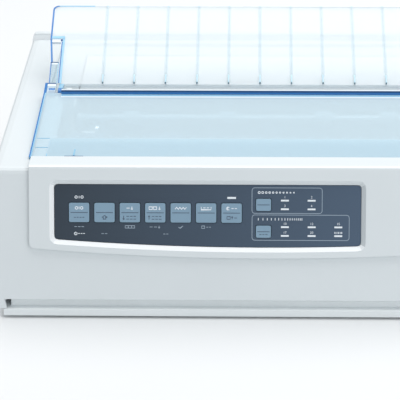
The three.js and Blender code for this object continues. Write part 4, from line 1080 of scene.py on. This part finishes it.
# ---- Ribbon cartridge -----------------------------------------------------------------------------
# A closed styrene case that clips over the head. An inked nylon ribbon runs out along one arm, past
# the head's nose and back along the other, and a knob on top winds it.

ribbon_case = moulded_plastic("ribbon_case", (0.10, 0.15, 0.24), 0.4)
ribbon_ink = moulded_plastic("ribbon_ink", (0.010, 0.011, 0.014), 0.9, 0.0003, 0.6)
winder_plastic = moulded_plastic("winder_plastic", (0.12, 0.17, 0.26), 0.45)
case_top = 97.02

finish_node("ribbon_cartridge", ribbon_case, 0.0005)
finish_node("ribbon_knob", winder_plastic, 0.0004)
cartridge_trim = bmesh.new()
for side in (-1, 1):
    case_arm = sorted((parked_x + side * 22, parked_x + side * 40))
    brick(cartridge_trim, case_arm, (128.6, 129.2), (case_top, case_top + 0.58))
    for y in (114, 118, 122) if side > 0 else (120, 124):
        brick(cartridge_trim, case_arm, (y, y + 1.1), (case_top, case_top + 0.48))
    strap = sorted((parked_x + side * 28.05, parked_x + side * 28.4))
    brick(cartridge_trim, strap, (134, 150), (78, 88), 1)
for side in (-1, 1):
    strap = sorted((parked_x + side * 28.2, parked_x + side * 12))
    brick(cartridge_trim, strap, (150.22, 150.4), (77.8, 88.2), 1)
add_piece("cartridge_trim", cartridge_trim, "carriage", "ribbon_case", ribbon_case, ribbon_ink, edge=0.0001)
knob_grip = bmesh.new()
winder_x, winder_y, grip_radius = parked_x - 31, 108, 7.9
for turn in range(12):
    angle = math.pi / 6 * turn
    foot = at(winder_x + grip_radius * math.cos(angle), winder_y + grip_radius * math.sin(angle), 98)
    turned(knob_grip, foot, upward, [(0, 0.8), (4.6, 0.8), (5, 0.5)], 10)
bar_line = [(-6, -0.9), (6, -0.9), (6, 0.9), (-6, 0.9)]
prism(knob_grip, [at(winder_x + x, winder_y + y, 103.02) for x, y in bar_line], upward * 0.0009)
add_piece("ribbon_knob_grip", knob_grip, "ribbon_knob", "black_plastic", winder_plastic, edge=0.0001)

# ---- Carriage drive -------------------------------------------------------------------------------
# A can motor with a pulley on its shaft pulls a toothed neoprene belt round an idler on a post. The
# belt is clamped in the carriage's clip.

belt_rubber = moulded_plastic("belt_rubber", (0.028, 0.029, 0.031), 0.8, 0.0004, 0.5)
finish_node("drive_belt", belt_rubber)
finish_node("drive_pulley", screw_steel, 0.0003)
finish_node("idler_pulley", screw_steel, 0.0003)
finish_node("carriage_motor", motor_black, 0.0006)
belt_x, belt_y, belt_inside, belt_low, belt_high = 136, 104, 8.3, 37, 43
tooth_count, tooth_deep = 96, 0.42
belt_teeth = bmesh.new()
for i in range(tooth_count):
    x = -belt_x + 2 * belt_x * (i + 0.5) / tooth_count
    for side in (-1, 1):
        tooth = sorted((belt_y + side * (belt_inside - tooth_deep), belt_y + side * (belt_inside + 0.02)))
        brick(belt_teeth, (x - 0.7, x + 0.7), tooth, (belt_low + 0.2, belt_high - 0.2))
add_piece("belt_teeth", belt_teeth, "root", "rubber", belt_rubber, smooth=False)
for name, side in (("idler_pulley", -1), ("drive_pulley", 1)):
    flanges = bmesh.new()
    for z in (belt_low - 1.3, belt_high + 0.5):
        turned(flanges, at(side * belt_x, belt_y, z), upward, collar(3.4, 9.4, 0.7), 32)
    add_piece(f"{name}_flanges", flanges, name, "ground_steel", screw_steel, edge=0.0001)
motor_mount = bmesh.new()
for turn in range(4):
    angle = math.pi / 2 * turn + math.pi / 4
    spot = at(belt_x + 15 * math.cos(angle), belt_y + 15 * math.sin(angle), 33.05)
    cross_screw(motor_mount, spot, upward, 2.0, 1, 2)
for z in (16, 28):
    turned(motor_mount, at(belt_x, belt_y, z), upward, collar(19.8, 20.4, 1.4), 40, 1)
motor_paints = (motor_black, screw_steel, painted_recess_shade)
add_piece("carriage_motor_trim", motor_mount, "root", "black_plastic", *motor_paints)

# ---- Paper bail -----------------------------------------------------------------------------------
# A bright steel bar on two arms swings down onto the platen. Four white rollers turn freely on it
# between spring washers and hold the paper flat.

bail_steel = ground_bar("bail_steel", (0.80, 0.81, 0.82), 0.25)
roller_white = moulded_plastic("roller_white", (0.74, 0.77, 0.79), 0.45)
bail_y, bail_z, roller_places = 156.4, 101.8, (-101.6, -25.4, 50.8, 101.6)
finish_node("paper_bail", bail_steel, 0.0003)
bail_trim = bmesh.new()
for x in roller_places:
    for side in (-1, 1):
        turned(bail_trim, at(x + side * 6.6, bail_y, bail_z), rightward * side, collar(3.02, 4.4, 0.5), 20)
for side in (-1, 1):
    rivet = [(0, 3), (0.5, 3), (1.0, 2.2)]
    turned(bail_trim, at(side * 144.02, bail_y, bail_z), rightward * side, rivet, 20)
add_piece("bail_washers", bail_trim, "paper_bail", "ground_steel", screw_steel, edge=0.00005)
for i, x in enumerate(roller_places, 1):
    finish_node(f"bail_roller_{i}", roller_white, 0.0008)
    tyre = bmesh.new()
    for offset in (-3.4, 0, 3.4):
        ridge = [(-0.8, 5.35), (-0.8, 5.7), (0.8, 5.7), (0.8, 5.35)]
        turned(tyre, at(x + offset, bail_y, bail_z), rightward, ridge, 24)
    add_piece(f"bail_tyre_{i}", tyre, f"bail_roller_{i}", "white_plastic", roller_white, edge=0.0001)

# ---- Levers ---------------------------------------------------------------------------------------
# The paper lever comes up through the right shoulder and switches between cut sheets and forms. The
# small lever inside moves the carriage rod nearer to the platen or farther from it.

lever_white = moulded_plastic("lever_white", (0.66, 0.70, 0.73), 0.45)
lever_blue = moulded_plastic("lever_blue", (0.18, 0.27, 0.36), 0.45)
finish_node("paper_lever", lever_white, 0.0006)
finish_node("head_gap_lever", lever_blue, 0.0003)
lever_ribs = bmesh.new()
for i in range(4):
    y = 204.6 + i * 2.6
    brick(lever_ribs, (183.6, 189), (y, y + 0.9), (122.02, 122.5))
add_piece("paper_lever_ribs", lever_ribs, "paper_lever", "white_plastic", lever_white, edge=0.0001)
gap_grip = bmesh.new()
for i in range(3):
    z = 101.6 + i * 1.9
    brick(gap_grip, (151.6, 155.4), (116.6, 117.0), (z, z + 0.8))
add_piece("gap_lever_ribs", gap_grip, "head_gap_lever", "black_plastic", lever_blue, edge=0.0001)

# ---- Tractors -------------------------------------------------------------------------------------
# Two moulded tractors pull forms by their punched margins: a pin belt runs round the square shaft
# and a nose on the round bar, under a sprung door. Bar and shaft are ground steel.

tractor_white = moulded_plastic("tractor_white", (0.70, 0.73, 0.75), 0.5)
pin_belt_black = moulded_plastic("pin_belt_black", (0.05, 0.053, 0.058), 0.6)
finish_node("tractor_drive_shaft", bar_steel, 0.0005)
finish_node("tractor_guide_rod", bar_steel, 0.0004)
drive_y, guide_y, tractor_z, tractor_top = 226, 268, 66, 77
for name, side in (("left", -1), ("right", 1)):
    finish_node(f"tractor_{name}", tractor_white, 0.0005)
    door = f"tractor_door_{name}"
    finish_node(door, tractor_white, 0.0004)
    middle, outward = side * 108, rightward * side
    pin_belt = bmesh.new()
    for i in range(12):
        y = drive_y + 1.2 + i * 3.6
        brick(pin_belt, (middle - 3.4, middle + 3.4), (y, y + 2.8), (tractor_top - 0.4, tractor_top + 0.16))
    for y, heading in ((drive_y - 3.6, -1), (guide_y + 3.6, 1)):
        out = Vector((0, heading, 0.9))
        pin = [(0, 1.9), (0.8, 1.8), (1.6, 1.2), (1.9, 0.5)]
        turned(pin_belt, at(middle, y, tractor_top - 0.8), out, pin, 16)
    add_piece(f"pin_belt_{name}", pin_belt, f"tractor_{name}", "black_plastic", pin_belt_black, edge=0.00015)
    lock = bmesh.new()
    lock_foot = middle + side * 9.02
    eye = [(0, 8), (1.6, 8), (2, 7.6), (2, 4.6)]
    turned(lock, at(lock_foot, guide_y, tractor_z), outward, eye, 28)
    lever_x = sorted((lock_foot, middle + side * 11))
    brick(lock, lever_x, (guide_y - 17, guide_y - 7), (tractor_z - 2, tractor_z + 2))
    add_piece(f"tractor_lock_{name}", lock, f"tractor_{name}", "keys", lever_blue, edge=0.0002)
    hinge = bmesh.new()
    for y in (drive_y + 2, guide_y - 6):
        turned(hinge, at(middle + side * 8.2, y, tractor_top + 1.4), backward, [(0, 1.2), (4, 1.2)], 14)
    for i in range(3):
        x = middle - side * (4.6 + i * 1.2)
        rib = sorted((x, x + 0.5))
        brick(hinge, rib, (drive_y + 14, guide_y - 14), (tractor_top + 2.42, tractor_top + 2.8))
    add_piece(f"tractor_hinge_{name}", hinge, door, "white_plastic", tractor_white, edge=0.0001)

# ---- Circuit boards -------------------------------------------------------------------------------
# Two glass-epoxy boards with green solder mask over copper tracks. The small one is screwed behind the
# key panel. The main board stands on four pillars and carries chips on tinned legs, cans, small parts
# and the plugs for the leads.


def track_board(name, mask, track):
    """Green solder mask with the copper tracks showing through it as paler lines."""
    paint, skin, place = start_paint(name)
    colours = {"Color1": (*mask, 1), "Color2": (*scaled(mask, 0.88), 1), "Mortar": (*track, 1)}
    runs = step(paint, "TexBrick", {"Vector": place, "Scale": 42, "Mortar Size": 0.035, **colours})
    relief = step(paint, "Bump", {"Strength": 0.3, "Distance": 0.00008, "Height": runs.outputs["Fac"]})
    fill(paint, skin, {"Base Color": runs.outputs["Color"], "Normal": relief.outputs["Normal"]})
    fill(paint, skin, {"Roughness": 0.32})
    return paint


board_green = track_board("board_green", (0.035, 0.16, 0.075), (0.10, 0.30, 0.14))
chip_black = moulded_plastic("chip_black", (0.025, 0.026, 0.028), 0.5, 0.0004, 0.3)
tinned_leg = plated_metal("tinned_leg", (0.74, 0.74, 0.72), 0.3)
can_blue = moulded_plastic("can_blue", (0.03, 0.07, 0.20), 0.35)
header_white = moulded_plastic("header_white", (0.68, 0.67, 0.62), 0.5)
finish_node("panel_board", board_green, 0.0002)
finish_node("main_board", board_green, 0.0002)
board_top, chip_top, leg_pitch = 19.6, 24.4, 2.54
board_parts = bmesh.new()
for x, y in ((20, 240), (60, 240), (100, 262), (60, 270)):
    brick(board_parts, (x - 13.6, x + 13.6), (y - 6.6, y + 6.6), (chip_top - 0.38, chip_top))
    turned(board_parts, at(x - 11.5, y, chip_top + 0.02), upward, [(0, 1.1), (0.06, 1.1)], 16, 1)
    for i in range(10):
        leg_x = x - 12.2 + i * leg_pitch
        for side in (-1, 1):
            leg_y = sorted((y + side * 7.02, y + side * 8.2))
            brick(board_parts, (leg_x, leg_x + 0.7), leg_y, (board_top - 0.2, 22.4), 1)
cans = ((-18, 262, 5, 14), (-18, 276, 5, 14), (0, 280, 4, 11), (118, 226, 5, 13), (132, 226, 5, 13))
for x, y, radius, high in cans:
    can = [(0, radius), (0.6, radius - 0.3), (1.2, radius), (high - 0.6, radius), (high, radius - 0.5)]
    turned(board_parts, at(x, y, board_top), upward, can, 24, 2)
    lid = [(0, radius - 0.9), (0.1, radius - 0.9)]
    turned(board_parts, at(x, y, board_top + high + 0.01), upward, lid, 24, 1)
resistor = [(0, 0.9), (0.6, 1.15), (4.2, 1.15), (4.8, 0.9)]
resistor_y, resistor_z = 221, board_top + 1.2
for i in range(9):
    x = 10 + i * 8
    body = at(x, resistor_y, resistor_z)
    turned(board_parts, body, rightward, resistor, 12, 3)
    wire(board_parts, [at(x - 1.5, resistor_y, board_top), at(x - 1, resistor_y, resistor_z), body], 0.25, 1)
pin_pitch = 2.5
for x, y, wide in ((-24, 224, 4), (128, 262, 20), (128, 276, 20)):
    brick(board_parts, (x - wide / 2, x + wide / 2), (y, y + 6), (board_top, board_top + 6.5), 3)
    for i in range(int(wide / pin_pitch)):
        pin_x = x - wide / 2 + 1.2 + i * pin_pitch
        pin_z = (board_top + 6.52, board_top + 8.5)
        brick(board_parts, (pin_x - 0.3, pin_x + 0.3), (y + 2.7, y + 3.3), pin_z, 1)
part_paints = (chip_black, tinned_leg, can_blue, header_white)
add_piece("board_parts", board_parts, "root", "circuit_board", *part_paints)
for where, x in (("left", -22), ("right", 142)):
    for end, y in (("front", 220), ("rear", 286)):
        board_screw = bmesh.new()
        cross_screw(board_screw, at(x, y, board_top + 0.02), upward)
        screw_name = f"board_screw_{end}_{where}"
        add_piece(screw_name, board_screw, "root", "ground_steel", screw_steel, painted_recess_shade)

# ---- Power supply ---------------------------------------------------------------------------------
# A folded zinc-plated steel box over the mains board; its rows of heat slots are painted shade, dark
# patches on the lid. Four screws hold its lid, and a loom of covered leads runs to the main board.

painted_slot_shade = moulded_plastic("painted_slot_shade", (0.02, 0.021, 0.023), 0.8)
finish_node("power_supply", zinc_plating, 0.0008)
lid_z, slot_wide, slot_long = 46.02, 3, 18
supply_trim = bmesh.new()
for y in (236, 262):
    for i in range(12):
        x = -146 + i * 7
        slot = [(x, y), (x + slot_wide, y), (x + slot_wide, y + slot_long), (x, y + slot_long)]
        # Each slot is a thin dark patch on the lid, painted shade, between two raised edges.
        prism(supply_trim, [at(a, b, lid_z) for a, b in slot], upward * 0.00006, 1)
        for edge_x in (x - 0.5, x + slot_wide):
            edge_y = (y - 0.5, y + slot_long + 0.5)
            brick(supply_trim, (edge_x, edge_x + 0.5), edge_y, (lid_z - 0.01, lid_z + 0.23))
for x in (-151, -64):
    for y in (230, 288):
        cross_screw(supply_trim, at(x, y, lid_z + 0.03), upward, 2.4, 2, 1)
add_piece("supply_trim", supply_trim, "root", "zinc_plate", zinc_plating, painted_slot_shade, screw_steel)
supply_paths = []
for i in range(5):
    z = 22 + i * 1.5
    path = [(-59.9, 256 + i * 1.7, z), (-50, 256 + i * 1.6, z - 1)]
    supply_paths.append(path + [(-38, 252 + i * 1.5, 21.5), (-27, 238 + i * 1.8, 20.6)])
loom("supply_leads", supply_paths, 0.75)

# ---- Vent baffle ----------------------------------------------------------------------------------
# A folded zinc-plated sheet stands behind the cooling slots in the back wall, so that nothing poked
# through them reaches the board. Its foot is screwed to the base pan.

baffle_x, baffle_low, baffle_high, baffle_back = (-68, 60), 14, 68, 335.5
vent_baffle = bmesh.new()
brick(vent_baffle, baffle_x, (baffle_back - 1, baffle_back), (baffle_low, baffle_high))
brick(vent_baffle, baffle_x, (326, baffle_back - 1.1), (baffle_low, baffle_low + 1))
brick(vent_baffle, baffle_x, (330.5, baffle_back - 1.1), (baffle_high - 1, baffle_high))
for x in (-60, 52):
    cross_screw(vent_baffle, at(x, 330, baffle_low + 1.02), upward, 2.4, 1, 2)
baffle_paints = (zinc_plating, screw_steel, painted_recess_shade)
add_piece("vent_baffle", vent_baffle, "root", "zinc_plate", *baffle_paints, edge=0.0001)

# ---- Mains inlet and switch -----------------------------------------------------------------------
# A three-pin inlet in black nylon snaps into the back wall beside a rocker switch. The rocker is
# marked with a bar and a ring, moulded proud and filled with white.

inlet_black = moulded_plastic("inlet_black", (0.030, 0.031, 0.034), 0.45)
mark_white = moulded_plastic("mark_white", (0.80, 0.80, 0.78), 0.5)
finish_node("power_inlet", inlet_black, 0.0004)
finish_node("power_switch", inlet_black, 0.0005)
inlet_x, inlet_half, inlet_low, inlet_high = -150, 11, 23.6, 44.4
inlet_pins = bmesh.new()
for x in (inlet_x - 7, inlet_x, inlet_x + 7):
    brick(inlet_pins, (x - 0.9, x + 0.9), (341.02, 341.3), (32.2, 36.8))
add_piece("inlet_pins", inlet_pins, "root", "ground_steel", tinned_leg, edge=0.0001)
inlet_rim = bmesh.new()
rim_y = (345.52, 346.4)
for z in (inlet_high - 1, inlet_low):
    brick(inlet_rim, (inlet_x - inlet_half, inlet_x + inlet_half), rim_y, (z, z + 1))
for x in (inlet_x - inlet_half - 1, inlet_x + inlet_half):
    brick(inlet_rim, (x, x + 1), rim_y, (inlet_low + 1, inlet_high - 1))
add_piece("inlet_rim", inlet_rim, "root", "black_plastic", inlet_black, edge=0.0002)
rocker_lean = 0.12
rocker_out = Vector((0, math.cos(rocker_lean), math.sin(rocker_lean)))
rocker_up = Vector((0, -math.sin(rocker_lean), math.cos(rocker_lean)))
rocker_face = at(-116, 341, 34) + rocker_out * 0.00453
rocker_marks = bmesh.new()


def rocker_mark(points):
    """A mark on the rocker, from places (mm right of its middle, mm up its face)."""
    places = [rocker_face + rightward * (x * mm) + rocker_up * up_face * mm for x, up_face in points]
    prism(rocker_marks, places, rocker_out * 0.0002)


rocker_mark([(-0.35, 3.2), (0.35, 3.2), (0.35, 6.6), (-0.35, 6.6)])
for i in range(20):
    a, b = math.pi * i / 10, math.pi * (i + 1) / 10
    piece_of_ring = ((1.9, a), (1.9, b), (1.3, b), (1.3, a))
    rocker_mark([(r * math.sin(t), -5 + r * math.cos(t)) for r, t in piece_of_ring])
add_piece("rocker_marks", rocker_marks, "power_switch", "white_plastic", mark_white, smooth=False)

# ---- Interface socket -----------------------------------------------------------------------------
# The standard parallel socket for the computer's cable: a plated steel shell round a slotted tongue
# with contacts along both faces. A wire clip at each end latches over the plug.

contact_gold = plated_metal("contact_gold", (0.78, 0.62, 0.28), 0.25)
tongue_blue = moulded_plastic("tongue_blue", (0.04, 0.06, 0.10), 0.45)
finish_node("interface_socket", screw_steel, 0.0003)
socket_x, contact_pitch = 110, 2.2
contacts = bmesh.new()
for i in range(18):
    x = socket_x - 18.7 + i * contact_pitch
    for z in (31.7, 36.02):
        brick(contacts, (x - 0.5, x + 0.5), (336.2, 341.1), (z, z + 0.28))
brick(contacts, (socket_x - 20.8, socket_x + 20.8), (341.02, 341.4), (32.2, 35.8), 1)
add_piece("socket_contacts", contacts, "root", "circuit_board", contact_gold, tongue_blue)
latches = bmesh.new()
for side in (-1, 1):
    clip_line = ((0, 347.2, 27), (1.4, 349.6, 29), (1.6, 350.6, 34), (1.4, 349.6, 39), (0, 347.2, 41))
    wire(latches, [at(socket_x + side * (27 + out), y, z) for out, y, z in clip_line], 0.6)
add_piece("socket_latches", latches, "root", "ground_steel", screw_steel)
